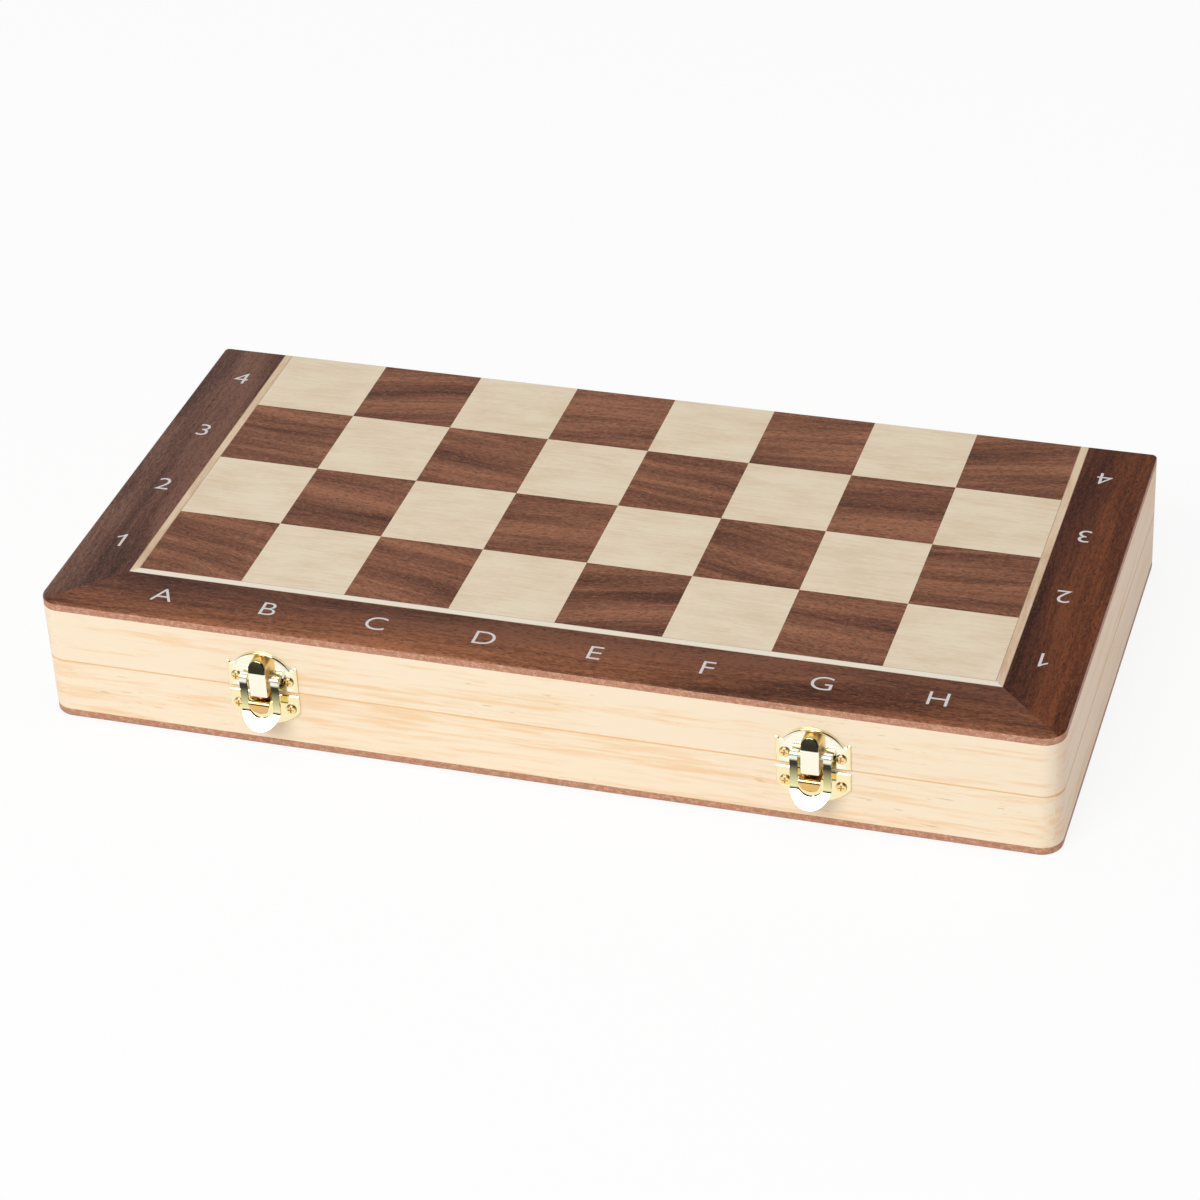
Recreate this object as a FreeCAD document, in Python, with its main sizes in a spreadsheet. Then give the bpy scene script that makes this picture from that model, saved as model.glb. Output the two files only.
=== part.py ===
"""Folding chess and checkers set: two board halves that close into a box for the men.

Origin at the middle of the resting face, X along the fold, Y from the clasps to the
hinges, Z up. Lengths in millimetres, angles in degrees.
"""
import FreeCAD, Part
import math
import os
import re

import Sketcher

FILES = 8
RANKS_PER_HALF = 4
STACK = 4
STACKS_PER_SIDE = 3
PAWNS_PER_SIDE = 8
ROOKS_PER_SIDE = 2
CROWN_NOTCHES = 8
ROOK_SLOTS = 3
EDGE_SAMPLES = 24

SIZES = {
    # Board halves
    "square": 40.5,
    "border_width": 29.5,
    "stringing_width": 3.2,
    "fold_trim": 0.2,
    "veneer_thickness": 0.6,
    "core_thickness": 2.8,
    "edge_round": 1.0,
    "wall_height": 22.1,
    "wall_thickness": 10.0,
    "corner_radius": 8.0,
    "back_corner_radius": 2.0,
    "seam_chamfer": 1.6,
    "seam_ease": 0.35,
    "felt_thickness": 1.0,
    "felt_clearance": 0.3,
    # Shared fits
    "running_clearance": 0.05,
    "fit_clearance": 0.1,
    "swing_clearance": 0.3,
    "overrun": 1.0,
    # Hinges
    "hinge_spacing": 207.0,
    "hinge_length": 30.0,
    "hinge_standoff": 0.15,
    "leaf_width": 8.0,
    "leaf_thickness": 1.0,
    "leaf_parting": 0.05,
    "knuckle_radius": 2.0,
    "knuckle_gap": 0.25,
    "hinge_pin_radius": 0.9,
    "hinge_screw_spacing": 19.0,
    "hinge_screw_setback": 5.2,
    "hinge_screw_head_radius": 1.9,
    "hinge_screw_shank_radius": 0.9,
    "hinge_screw_length": 9.0,
    # Clasps, heights and drops measured from the seam, depths from the front wall
    "latch_spacing": 207.0,
    "plate_width": 27.0,
    "plate_thickness": 0.8,
    "lid_plate_foot": 0.4,
    "lid_plate_shoulder": 10.2,
    "lid_plate_crown": 16.6,
    "lid_plate_arch": 22.8,
    "rim_width": 1.3,
    "nub_width": 0.7,
    "nub_height": 1.0,
    "plate_bevel": 0.3,
    "hook_plate_top": 1.2,
    "hook_plate_shoulder": 8.4,
    "hook_plate_crown": 15.0,
    "sheet_thickness": 0.8,
    "hood_width": 6.9,
    "hood_depth": 6.0,
    "hood_bend": 10.3,
    "hood_brow_depth": 4.5,
    "hood_crown": 15.2,
    "hood_round": 0.7,
    "pivot_height": 6.5,
    "pivot_depth": 3.2,
    "latch_pin_radius": 0.9,
    "eye_radius": 1.7,
    "lever_width": 15.0,
    "lever_opening": 9.4,
    "lever_bend": 7.0,
    "lever_flare": 38.0,
    "lever_bend_radius": 1.4,
    "tab_reach": 7.5,
    "tab_opening": 2.6,
    "hook_width": 7.9,
    "hook_tip_width": 5.6,
    "hook_top": 1.7,
    "hook_tip": 7.3,
    "hook_reach": 7.0,
    "hook_rake": 1.5,
    "hook_bend": 1.0,
    "latch_screw_spacing": 20.4,
    "lid_screw_height": 5.0,
    "base_screw_drop": 7.1,
    "screw_head_radius": 2.0,
    "screw_head_height": 0.9,
    "screw_shank_radius": 0.9,
    "screw_length": 8.0,
    "screw_cross_width": 0.6,
    "screw_cross_depth": 0.5,
    # Chessmen and checkers
    "king_height": 75.0,
    "king_base": 30.0,
    "queen_height": 66.0,
    "queen_base": 28.0,
    "bishop_height": 58.0,
    "bishop_base": 26.0,
    "knight_height": 52.0,
    "knight_base": 26.0,
    "knight_width": 14.0,
    "rook_height": 42.0,
    "rook_base": 26.0,
    "pawn_height": 40.0,
    "pawn_base": 24.0,
    "checker_diameter": 30.0,
    "checker_thickness": 7.0,
    "man_gap": 1.6,
    "row_gap": 2.6,
    "lying_clearance": 0.25,
}

# Derived lengths, written in the sheet's own names
WIDTH = f"({FILES} * square + 2 * border_width)"
DEPTH = f"(border_width + {RANKS_PER_HALF} * square - fold_trim)"
FRONT = f"(-{DEPTH} / 2)"
BACK = f"({DEPTH} / 2)"
PANEL = "(veneer_thickness + core_thickness)"
SEAM = f"({PANEL} + wall_height)"
HINGE_Y = f"({BACK} + hinge_standoff)"
VENEER_BORDER = "(border_width - stringing_width)"

# Turned profiles as (radius, height), arcs as (through radius, through height, radius,
# height) and domes as ("dome", top), in shares of half the base's diameter and of the
# man's height
PAWN_SHARES = (
    (0, 0), (0.97, 0), (1, 0.03), (1, 0.09), (0.97, 0.135, 0.84, 0.155), (0.77, 0.185),
    (0.69, 0.205), (0.45, 0.34, 0.36, 0.57), (0.55, 0.585), (0.62, 0.612, 0.55, 0.64),
    (0.33, 0.665), (0.3, 0.686), ("dome", 1),
)
PAWN_HEAD_SHARE = 0.6
ROOK_SHARES = (
    (0, 0), (0.97, 0), (1, 0.03), (1, 0.085), (0.97, 0.125, 0.86, 0.145), (0.79, 0.175),
    (0.72, 0.195), (0.56, 0.36, 0.52, 0.6), (0.66, 0.63), (0.71, 0.655, 0.66, 0.68),
    (0.58, 0.7), (0.72, 0.75), (0.76, 0.775), (0.76, 1), (0.54, 1), (0.54, 0.88), (0, 0.88),
)
BISHOP_SHARES = (
    (0, 0), (0.97, 0), (1, 0.022), (1, 0.06), (0.97, 0.095, 0.86, 0.11), (0.78, 0.132),
    (0.7, 0.147), (0.42, 0.28, 0.31, 0.53), (0.52, 0.545), (0.58, 0.56, 0.52, 0.575),
    (0.34, 0.592), (0.42, 0.606), (0.46, 0.617, 0.42, 0.628), (0.3, 0.645),
    (0.5, 0.765, 0.11, 0.925), ("dome", 1),
)
QUEEN_SHARES = (
    (0, 0), (0.97, 0), (1, 0.02), (1, 0.055), (0.97, 0.085, 0.86, 0.1), (0.78, 0.118),
    (0.7, 0.132), (0.42, 0.27, 0.3, 0.54), (0.5, 0.553), (0.56, 0.567, 0.5, 0.581),
    (0.34, 0.597), (0.42, 0.61), (0.45, 0.621, 0.4, 0.632), (0.3, 0.647),
    (0.36, 0.77, 0.6, 0.893), (0.6, 0.908), (0.46, 0.908), (0.32, 0.935, 0.11, 0.947),
    ("dome", 1),
)
KING_SHARES = (
    (0, 0), (0.97, 0), (1, 0.018), (1, 0.05), (0.97, 0.078, 0.86, 0.092), (0.78, 0.108),
    (0.7, 0.12), (0.42, 0.25, 0.3, 0.5), (0.5, 0.512), (0.56, 0.525, 0.5, 0.538),
    (0.34, 0.552), (0.42, 0.564), (0.45, 0.574, 0.4, 0.584), (0.31, 0.597),
    (0.35, 0.71, 0.54, 0.8), (0.58, 0.813), (0.54, 0.828), (0.34, 0.868, 0.12, 0.884),
    (0.09, 0.893), (0, 0.893),
)
KNIGHT_FOOT_SHARES = (
    (0, 0), (0.97, 0), (1, 0.025), (1, 0.07), (0.97, 0.105, 0.86, 0.122), (0.78, 0.148),
    (0.71, 0.164), (0.62, 0.2, 0.62, 0.235), (0.69, 0.25, 0.69, 0.272), (0, 0.272),
)
# Side outline of the knight's head and neck, (forward, height), same kind of shares: chest,
# throat, jaw, lips, nose, forehead, ear, scalloped mane and nape
KNIGHT_HEAD_SHARES = (
    (0.6, 0.26), (0.74, 0.37, 0.48, 0.505), (0.34, 0.565, 0.46, 0.61), (0.7, 0.555),
    (0.84, 0.53, 0.93, 0.565), (0.91, 0.575), (1, 0.595, 1, 0.635), (0.99, 0.665, 0.9, 0.69),
    (0.6, 0.81), (0.5, 0.855, 0.42, 0.9), (0.43, 0.95, 0.38, 1), (0.24, 0.97, 0.17, 0.905),
    (0.02, 0.925, -0.14, 0.88), (-0.3, 0.88, -0.41, 0.805), (-0.56, 0.78, -0.6, 0.695),
    (-0.72, 0.65, -0.7, 0.565), (-0.79, 0.5, -0.72, 0.43), (-0.7, 0.33, -0.6, 0.26),
)
# The same head seen from the front, (side, height), and from above, (forward, side)
KNIGHT_FRONT_SHARES = (
    (-0.48, 0.26), (0.48, 0.26), (0.5, 0.46), (0.45, 0.75, 0.26, 0.9), (0.25, 0.96, 0.2, 1),
    (0.1, 0.95, 0, 0.935), (-0.1, 0.95, -0.2, 1), (-0.25, 0.96, -0.26, 0.9),
    (-0.45, 0.75, -0.5, 0.46),
)
KNIGHT_TOP_SHARES = (
    (-0.8, -0.14), (-0.5, -0.42, 0.1, -0.5), (0.5, -0.43, 0.7, -0.31), (0.9, -0.34, 1.02, -0.2),
    (1.02, 0.2), (0.9, 0.34, 0.7, 0.31), (0.5, 0.43, 0.1, 0.5), (-0.5, 0.42, -0.8, 0.14),
)
# Eye and mouth, places as (forward, height) shares, depths as shares of the head's width
KNIGHT_EYE_SHARES = {"forward": 0.42, "height": 0.8, "radius": 0.1, "depth": 0.3}
KNIGHT_MOUTH_SHARES = {"forward": 0.66, "height": 0.585, "width": 0.012}
# Checker profile as (radius, height) in shares of half its diameter and its thickness
CHECKER_SHARES = (
    (0, 0.12), (0.5, 0.12), (0.53, 0.05), (0.57, 0.12), (0.72, 0.12), (0.78, 0), (0.96, 0),
    (1, 0.12), (1, 0.88), (0.96, 1), (0.78, 1), (0.72, 0.88), (0.57, 0.88), (0.53, 0.95),
    (0.5, 0.88), (0, 0.88),
)
KING_CROSS_SHARES = {"stem": 0.15, "arm": 0.5, "arm_height": 0.945, "thickness": 0.22}
QUEEN_NOTCH_SHARES = {"radius": 0.11, "reach": 0.42, "height": 0.915}
BISHOP_SLOT_SHARES = {"width": 0.11, "height": 0.83}
BISHOP_SLOT_TILT = 35.0
ROOK_SLOT_SHARES = {"width": 0.24, "floor": 0.9}
# Screw head, from its shallow crown to its rounded edge, and the length of its cross
SCREW_HEAD_SHARES = ((0, 1), (0.42, 0.95, 0.8, 0.8), (0.96, 0.5, 1, 0))
SCREW_CROSS_SHARE = 1.2

# Height, in shares of the foot's rim, above which a lying man may touch the floor
HEAD_START_SHARE = 2

X_AXIS = FreeCAD.Vector(1, 0, 0)
Y_AXIS = FreeCAD.Vector(0, 1, 0)
Z_AXIS = FreeCAD.Vector(0, 0, 1)

doc = FreeCAD.newDocument("folding_chess_and_checkers_set")
sheet = doc.addObject("Spreadsheet::Sheet", "sizes")
for row, (alias, number) in enumerate(SIZES.items(), start=1):
    sheet.set(f"A{row}", alias)
    sheet.set(f"B{row}", str(number))
    sheet.setAlias(f"B{row}", alias)
doc.recompute()

nodes = {}


def bound(expression):
    """The expression with every size written as a cell of the sheet."""
    return re.sub(r"[a-z_]+", lambda word: f"sizes.{word[0]}" if word[0] in SIZES else word[0],
                  expression)


def measure(expression):
    """The number that an expression of sizes comes to."""
    return float(sheet.evalExpression(bound(expression)))


def bind(item, **expressions):
    for name, expression in expressions.items():
        item.setExpression(name, bound(expression))
    return item


def place(item, x="0", y="0", z="0", axis=None, turn=0):
    """Put an object at bound coordinates, turned about an axis through its own origin."""
    if axis is not None:
        item.Placement = FreeCAD.Placement(FreeCAD.Vector(), FreeCAD.Rotation(axis, turn))
    for direction, expression in zip("xyz", (x, y, z)):
        item.setExpression(f"Placement.Base.{direction}", bound(expression))
    return item


def node(item, name):
    """Name an object as one of the set's pieces, to be written to its own file."""
    item.Label = name
    nodes[name] = item
    return item


def box(name, length, width, height, x="0", y="0", z="0"):
    item = bind(doc.addObject("Part::Box", name), Length=length, Width=width, Height=height)
    return place(item, x, y, z)


def cylinder(name, radius, height, x="0", y="0", z="0", axis=None, turn=0):
    item = bind(doc.addObject("Part::Cylinder", name), Radius=radius, Height=height)
    return place(item, x, y, z, axis, turn)


def rod(name, radius, length, x, y, z):
    """A cylinder along X that starts at the given point."""
    return cylinder(name, radius, length, x, y, z, Y_AXIS, 90)


def cut(name, base, tool):
    item = doc.addObject("Part::Cut", name)
    item.Base = base
    item.Tool = tool
    return item


def common(name, base, tool):
    item = doc.addObject("Part::Common", name)
    item.Base = base
    item.Tool = tool
    return item


def fuse(name, shapes):
    item = doc.addObject("Part::MultiFuse", name)
    item.Shapes = shapes
    return item


def compound(name, links):
    item = doc.addObject("Part::Compound", name)
    item.Links = links
    return item


def copy_of(item, name):
    link = doc.addObject("App::Link", name)
    link.LinkedObject = item
    return link


def new_body(name):
    return doc.addObject("PartDesign::Body", name)


def new_sketch(body, name, role):
    plane = next(item for item in body.Origin.OriginFeatures if item.Role == role)
    sketch = body.newObject("Sketcher::SketchObject", name)
    sketch.AttachmentSupport = [(plane, "")]
    sketch.MapMode = "FlatFace"
    return sketch


def sketch_point(pair):
    return FreeCAD.Vector(measure(pair[0]), measure(pair[1]), 0)


def lock(sketch, geometry, position, pair):
    """Tie one point of a sketch to a pair of expressions."""
    for kind, expression in zip(("DistanceX", "DistanceY"), pair):
        index = sketch.addConstraint(
            Sketcher.Constraint(kind, -1, 1, geometry, position, measure(expression)))
        sketch.setExpression(f"Constraints[{index}]", bound(expression))


def draw_loop(sketch, points):
    """Draw a closed outline; a point of four expressions is an arc through the first two."""
    corners = [points[0]]
    runs = []
    for point in points[1:]:
        runs.append((corners[-1], point[:-2], point[-2:]))
        corners.append(point[-2:])
    if corners[-1] != points[0]:
        runs.append((corners[-1], (), points[0]))
    ends = []
    for begin, through, finish in runs:
        start, stop = sketch_point(begin), sketch_point(finish)
        if through:
            curve = Part.Arc(start, sketch_point(through), stop)
        else:
            curve = Part.LineSegment(start, stop)
        geometry = sketch.addGeometry(curve)
        forward = sketch.getPoint(geometry, 1).isEqual(start, 1e-6)
        head, tail = (1, 2) if forward else (2, 1)
        lock(sketch, geometry, head, begin)
        if through:
            middle = sketch.addGeometry(Part.Point(sketch_point(through)), True)
            lock(sketch, middle, 1, through)
            sketch.addConstraint(Sketcher.Constraint("PointOnObject", middle, 1, geometry))
        ends.append((geometry, head, tail))
    for (geometry, _, tail), (following, head, _) in zip(ends, ends[1:] + ends[:1]):
        sketch.addConstraint(Sketcher.Constraint("Coincident", geometry, tail, following, head))


def pad(body, name, role, points, length, symmetric=False):
    """Pad an outline from one of the body's planes; XZ pads towards the front."""
    sketch = new_sketch(body, f"{name}_outline", role)
    draw_loop(sketch, points)
    feature = body.newObject("PartDesign::Pad", name)
    feature.Profile = sketch
    feature.Midplane = symmetric
    return bind(feature, Length=length)


def prism(name, role, points, length, symmetric=False):
    body = new_body(name)
    pad(body, f"{name}_pad", role, points, length, symmetric)
    return body


def turned(name, profile):
    """Revolve an outline of (radius, height) about Z."""
    body = new_body(name)
    sketch = new_sketch(body, f"{name}_outline", "XZ_Plane")
    draw_loop(sketch, profile)
    feature = body.newObject("PartDesign::Revolution", f"{name}_revolution")
    feature.Profile = sketch
    feature.ReferenceAxis = (sketch, ["V_Axis"])
    feature.Angle = 360
    return body


def edges_where(feature, test):
    doc.recompute()
    return [f"Edge{number}" for number, edge in enumerate(feature.Shape.Edges, start=1)
            if test(edge)]


def dress(body, kind, name, base, test, **expressions):
    """Fillet or chamfer the edges of a feature that pass a test."""
    feature = body.newObject(f"PartDesign::{kind}", name)
    feature.Base = (base, edges_where(base, test))
    return bind(feature, **expressions)


def upright(edge):
    extent = edge.BoundBox
    return extent.ZLength > max(extent.XLength, extent.YLength)


def level(half, low, high):
    """Height of the lower face of a slab that lies between two depths from a half's board."""
    return low if half == "base" else f"(2 * {SEAM} - {high})"


# Board halves

def rounded_blank(name, half, low, high):
    """A slab with the half's outline, rounded at its four corners."""
    body = place(new_body(name), f"-{WIDTH} / 2", FRONT, level(half, low, high))
    slab = body.newObject("PartDesign::AdditiveBox", f"{name}_slab")
    bind(slab, Length=WIDTH, Width=DEPTH, Height=f"{high} - {low}")
    middle = measure(DEPTH) / 2
    front = dress(body, "Fillet", f"{name}_front_corners", slab,
                  lambda edge: upright(edge) and edge.CenterOfMass.y < middle,
                  Radius="corner_radius")
    back = dress(body, "Fillet", f"{name}_back_corners", front,
                 lambda edge: upright(edge) and edge.CenterOfMass.y > middle
                 and edge.Curve.TypeId == "Part::GeomLine",
                 Radius="back_corner_radius")
    return body, back


def panel_blank(half):
    """Board panel, with its outer edge eased all round the playing face."""
    body, feature = rounded_blank(f"{half}_panel_blank", half, "0", PANEL)
    face = 0 if half == "base" else measure(PANEL)
    dress(body, "Fillet", f"{half}_panel_blank_edge", feature,
          lambda edge: edge.BoundBox.ZLength < 1e-6 and abs(edge.CenterOfMass.z - face) < 1e-6,
          Radius="edge_round")
    return body


def wall_blank(half):
    """Envelope of the four walls, eased round the seam and chamfered there along the fold."""
    body, block = rounded_blank(f"{half}_wall_block", half, PANEL, SEAM)
    seam = measure("wall_height") if half == "base" else 0
    dress(body, "Fillet", f"{half}_wall_block_seam", block,
          lambda edge: edge.BoundBox.ZLength < 1e-6 and abs(edge.CenterOfMass.z - seam) < 1e-6,
          Radius="seam_ease")
    inward = "-" if half == "base" else "+"
    chamfer = prism(f"{half}_fold_chamfer", "YZ_Plane", [
        (f"{BACK} - seam_chamfer", SEAM), (BACK, SEAM), (BACK, f"{SEAM} {inward} seam_chamfer")],
        f"{WIDTH} + 2 * overrun", symmetric=True)
    return cut(f"{half}_wall_blank", body, chamfer)


def mitred_strip(name, side, inset, width, half, low, high, back_mitre=True):
    """A strip along one side of the board, mitred at its ends, at an inset from the edge."""
    run = f"({DEPTH} - {inset})" if side in ("left", "right") else f"({WIDTH} - 2 * {inset})"
    if side in ("left", "right") and back_mitre:
        run = f"({DEPTH} - 2 * {inset})"
    lead, trail = width, width
    if side == "right" and not back_mitre:
        trail = "0"
    if side == "left" and not back_mitre:
        lead = "0"
    strip = doc.addObject("Part::Wedge", name)
    bind(strip, Xmin="0", Xmax=run, X2min=lead, X2max=f"{run} - {trail}", Ymin="0", Ymax=width,
         Zmin="0", Zmax=f"{high} - {low}", Z2min="0", Z2max=f"{high} - {low}")
    back_inset = inset if back_mitre else "0"
    corner = {
        "front": (f"-{WIDTH} / 2 + {inset}", f"{FRONT} + {inset}", 0),
        "back": (f"{WIDTH} / 2 - {inset}", f"{BACK} - {inset}", 180),
        "right": (f"{WIDTH} / 2 - {inset}", f"{FRONT} + {inset}", 90),
        "left": (f"-{WIDTH} / 2 + {inset}", f"{BACK} - {back_inset}", -90),
    }[side]
    return place(strip, corner[0], corner[1], level(half, low, high), Z_AXIS, corner[2])


def board(half):
    """Core panel, border strips, stringing and inlaid squares of one half."""
    blank = panel_blank(half)
    slab = box(f"{half}_core_slab", WIDTH, DEPTH, "core_thickness", f"-{WIDTH} / 2", FRONT,
               level(half, "veneer_thickness", PANEL))
    node(common(f"{half}_core", blank, slab), f"{half}_core_panel")
    for side in ("front", "left", "right"):
        strip = mitred_strip(f"{half}_{side}_border_strip", side, "0", VENEER_BORDER, half, "0",
                             "veneer_thickness", back_mitre=False)
        node(common(f"{half}_{side}_border_veneer", blank, strip), f"{half}_{side}_border")
    lines = []
    for side in ("front", "left", "right"):
        strip = mitred_strip(f"{half}_{side}_line_strip", side, VENEER_BORDER, "stringing_width",
                             half, "0", "veneer_thickness", back_mitre=False)
        lines.append(common(f"{half}_{side}_line", blank, strip))
    node(compound(f"{half}_lines", lines), f"{half}_stringing")
    squares = {"dark": [], "light": []}
    for rank in range(RANKS_PER_HALF):
        last = rank == RANKS_PER_HALF - 1
        for file in range(FILES):
            odd = (file + rank) % 2 == 1
            shade = "dark" if odd == (half == "base") else "light"
            squares[shade].append(box(
                f"{half}_square_{rank}_{file}", "square", "square - fold_trim" if last else "square",
                "veneer_thickness", f"-{WIDTH} / 2 + border_width + {file} * square",
                f"{FRONT} + border_width + {rank} * square", level(half, "0", "veneer_thickness")))
    for shade, boxes in squares.items():
        field = compound(f"{half}_{shade}_boxes", boxes)
        node(common(f"{half}_{shade}_inlay", blank, field), f"{half}_{shade}_squares")


def walls(half, front_tools, back_tools):
    """Four mitred walls, drilled and recessed for the clasps and hinges."""
    blank = wall_blank(half)
    tools = {"front": front_tools, "back": back_tools}
    for side in ("front", "back", "left", "right"):
        stock = mitred_strip(f"{half}_{side}_stock", side, "0", "wall_thickness", half, PANEL, SEAM)
        wall = common(f"{half}_{side}_board", blank, stock)
        if side in tools:
            wall = cut(f"{half}_{side}_drilled", wall,
                       compound(f"{half}_{side}_tools", tools[side]))
        node(wall, f"{half}_{side}_wall")


def felt(half):
    margin = "(wall_thickness + felt_clearance)"
    lining = box(f"{half}_lining", f"{WIDTH} - 2 * {margin}", f"{DEPTH} - 2 * {margin}",
                 "felt_thickness", f"-{WIDTH} / 2 + {margin}", f"{FRONT} + {margin}",
                 level(half, PANEL, f"({PANEL} + felt_thickness)"))
    node(lining, f"{half}_felt")


# Hinges

HINGE_CENTRES = {"left": "(-hinge_spacing / 2)", "right": "(hinge_spacing / 2)"}
THIRD = "(hinge_length / 3)"
LEAF_FACE = {"base": f"({SEAM} - leaf_parting)", "lid": f"({SEAM} + leaf_parting)"}
PILOT = "(hinge_screw_shank_radius + fit_clearance)"


def hinge_screw_places(side):
    centre = HINGE_CENTRES[side]
    return [(f"{centre} {sign} hinge_screw_spacing / 2", f"{HINGE_Y} - hinge_screw_setback")
            for sign in "-+"]


def hinge_screw(name, extra):
    """Countersunk screw, head up, with its flat top at the origin; extra grows it into a hole."""
    head = f"(hinge_screw_head_radius + {extra})"
    shank = f"(hinge_screw_shank_radius + {extra})"
    return turned(name, [
        ("0", "0"), (head, "0"), (shank, "-leaf_thickness"),
        (shank, f"-hinge_screw_length + {shank}"), ("0", f"-hinge_screw_length - {extra}")])


def knuckles(half, side, name, radius, grow):
    """The barrels of one leaf: two outer ones on the base, the middle one on the lid."""
    centre = HINGE_CENTRES[side]
    short = f"({THIRD} - knuckle_gap / 2)"
    if half == "base":
        spans = ((f"{centre} - hinge_length / 2 - {grow}", f"{short} + {grow}"),
                 (f"{centre} + hinge_length / 2 - {short}", f"{short} + {grow}"))
    else:
        spans = ((f"{centre} - {THIRD} / 2 + knuckle_gap / 2", f"{THIRD} - knuckle_gap"),)
    return [rod(f"{name}_{number}", radius, length, start, HINGE_Y, SEAM)
            for number, (start, length) in enumerate(spans)]


def hinge_leaf(half, side, drill):
    name = f"{side}_hinge_{half}"
    centre = HINGE_CENTRES[side]
    plate_z = f"{LEAF_FACE[half]} - leaf_thickness" if half == "base" else LEAF_FACE[half]
    plate = box(f"{name}_plate", "hinge_length", "leaf_width", "leaf_thickness",
                f"{centre} - hinge_length / 2", f"{HINGE_Y} - leaf_width", plate_z)
    barrels = knuckles(half, side, f"{name}_knuckle", "knuckle_radius", "0")
    bore = rod(f"{name}_bore", "hinge_pin_radius + running_clearance",
               "hinge_length + 2 * overrun", f"{centre} - hinge_length / 2 - overrun", HINGE_Y, SEAM)
    other = "lid" if half == "base" else "base"
    relief = "(knuckle_radius + swing_clearance)"
    if other == "lid":
        notches = [rod(f"{name}_notch", relief, f"{THIRD} + knuckle_gap",
                       f"{centre} - {THIRD} / 2 - knuckle_gap / 2", HINGE_Y, SEAM)]
    else:
        notches = [rod(f"{name}_notch_{number}", relief, f"{THIRD} + knuckle_gap / 2 + overrun",
                       start, HINGE_Y, SEAM)
                   for number, start in enumerate((
                       f"{centre} - hinge_length / 2 - overrun",
                       f"{centre} + hinge_length / 2 - {THIRD} - knuckle_gap / 2"))]
    bare = cut(f"{name}_trimmed", plate, compound(f"{name}_reliefs", notches))
    joined = fuse(f"{name}_joined", [bare, *barrels])
    holes = screws_at(f"{name}_hole", drill, half, [side])
    node(cut(f"{name}_drilled", joined, compound(f"{name}_cuts", [bore, *holes])),
         f"{side}_hinge_{half}_leaf")


def screws_at(name, screw, half, sides):
    """Copies of a screw, or of its hole, in one half's hinge leaves, heads at the leaf's face."""
    copies = []
    for side in sides:
        for number, (x, y) in enumerate(hinge_screw_places(side)):
            link = copy_of(screw, f"{name}_{side}_{number}")
            copies.append(place(link, x, y, LEAF_FACE[half], X_AXIS, 0 if half == "base" else 180))
    return copies


def hinge_recesses(half):
    """What the hinges take out of one half's back wall: leaf beds, knuckle notch, pilot holes."""
    tools = []
    for side, centre in HINGE_CENTRES.items():
        bed_length = "(hinge_length + 2 * fit_clearance)"
        bed_z = f"{SEAM} - leaf_parting - leaf_thickness" if half == "base" else SEAM
        tools.append(box(f"{half}_{side}_leaf_bed", bed_length,
                         "leaf_width + hinge_standoff + fit_clearance",
                         "leaf_thickness + leaf_parting",
                         f"{centre} - {bed_length} / 2", f"{HINGE_Y} - leaf_width - fit_clearance",
                         bed_z))
        tools.append(rod(f"{half}_{side}_knuckle_bed", "knuckle_radius + swing_clearance",
                         "hinge_length + 2 * swing_clearance",
                         f"{centre} - hinge_length / 2 - swing_clearance", HINGE_Y, SEAM))
        for number, (x, y) in enumerate(hinge_screw_places(side)):
            hole_z = f"{SEAM} - hinge_screw_length - fit_clearance" if half == "base" else SEAM
            tools.append(cylinder(f"{half}_{side}_hinge_pilot_{number}", PILOT,
                                  "hinge_screw_length + fit_clearance", x, y, hole_z))
    return [fuse(f"{half}_hinge_recesses", tools)]


def hinges():
    screw = hinge_screw("hinge_screw", "0")
    drill = hinge_screw("hinge_screw_hole", "running_clearance")
    for side in HINGE_CENTRES:
        for half in ("base", "lid"):
            hinge_leaf(half, side, drill)
        pin = rod(f"{side}_hinge_rod", "hinge_pin_radius", "hinge_length",
                  f"{HINGE_CENTRES[side]} - hinge_length / 2", HINGE_Y, SEAM)
        node(pin, f"{side}_hinge_pin")
    for half in ("base", "lid"):
        copies = screws_at(f"{half}_hinge_screw", screw, half, HINGE_CENTRES)
        node(compound(f"{half}_hinge_screw_set", copies), f"{half}_hinge_screws")


# Clasps, built about the seam line on the front wall with -Y outwards

LATCH_CENTRES = {"left": "(-latch_spacing / 2)", "right": "(latch_spacing / 2)"}
LATCH_SCREW_HEIGHTS = {"lid": "lid_screw_height", "base": "-base_screw_drop"}
LATCH_PILOT = "(screw_shank_radius + fit_clearance)"


def latch_screw_places(half):
    return [(f"{sign}latch_screw_spacing / 2", LATCH_SCREW_HEIGHTS[half]) for sign in ("-", "")]


def screw_holes(name, half, depth):
    """Round holes through a plate, or pilot holes, about one clasp's centre."""
    return [cylinder(f"{name}_{number}", LATCH_PILOT, f"{depth} + overrun", x,
                     f"{depth}", z, X_AXIS, 90)
            for number, (x, z) in enumerate(latch_screw_places(half))]


def stamping(name, points):
    """A plate on the wall with its front edges bevelled."""
    body = new_body(name)
    sheet_metal = pad(body, f"{name}_sheet", "XZ_Plane", points, "plate_thickness")
    face = measure("-plate_thickness")
    dress(body, "Chamfer", f"{name}_edge", sheet_metal,
          lambda edge: edge.BoundBox.YMax < face + 1e-6, Size="plate_bevel")
    return body


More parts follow.
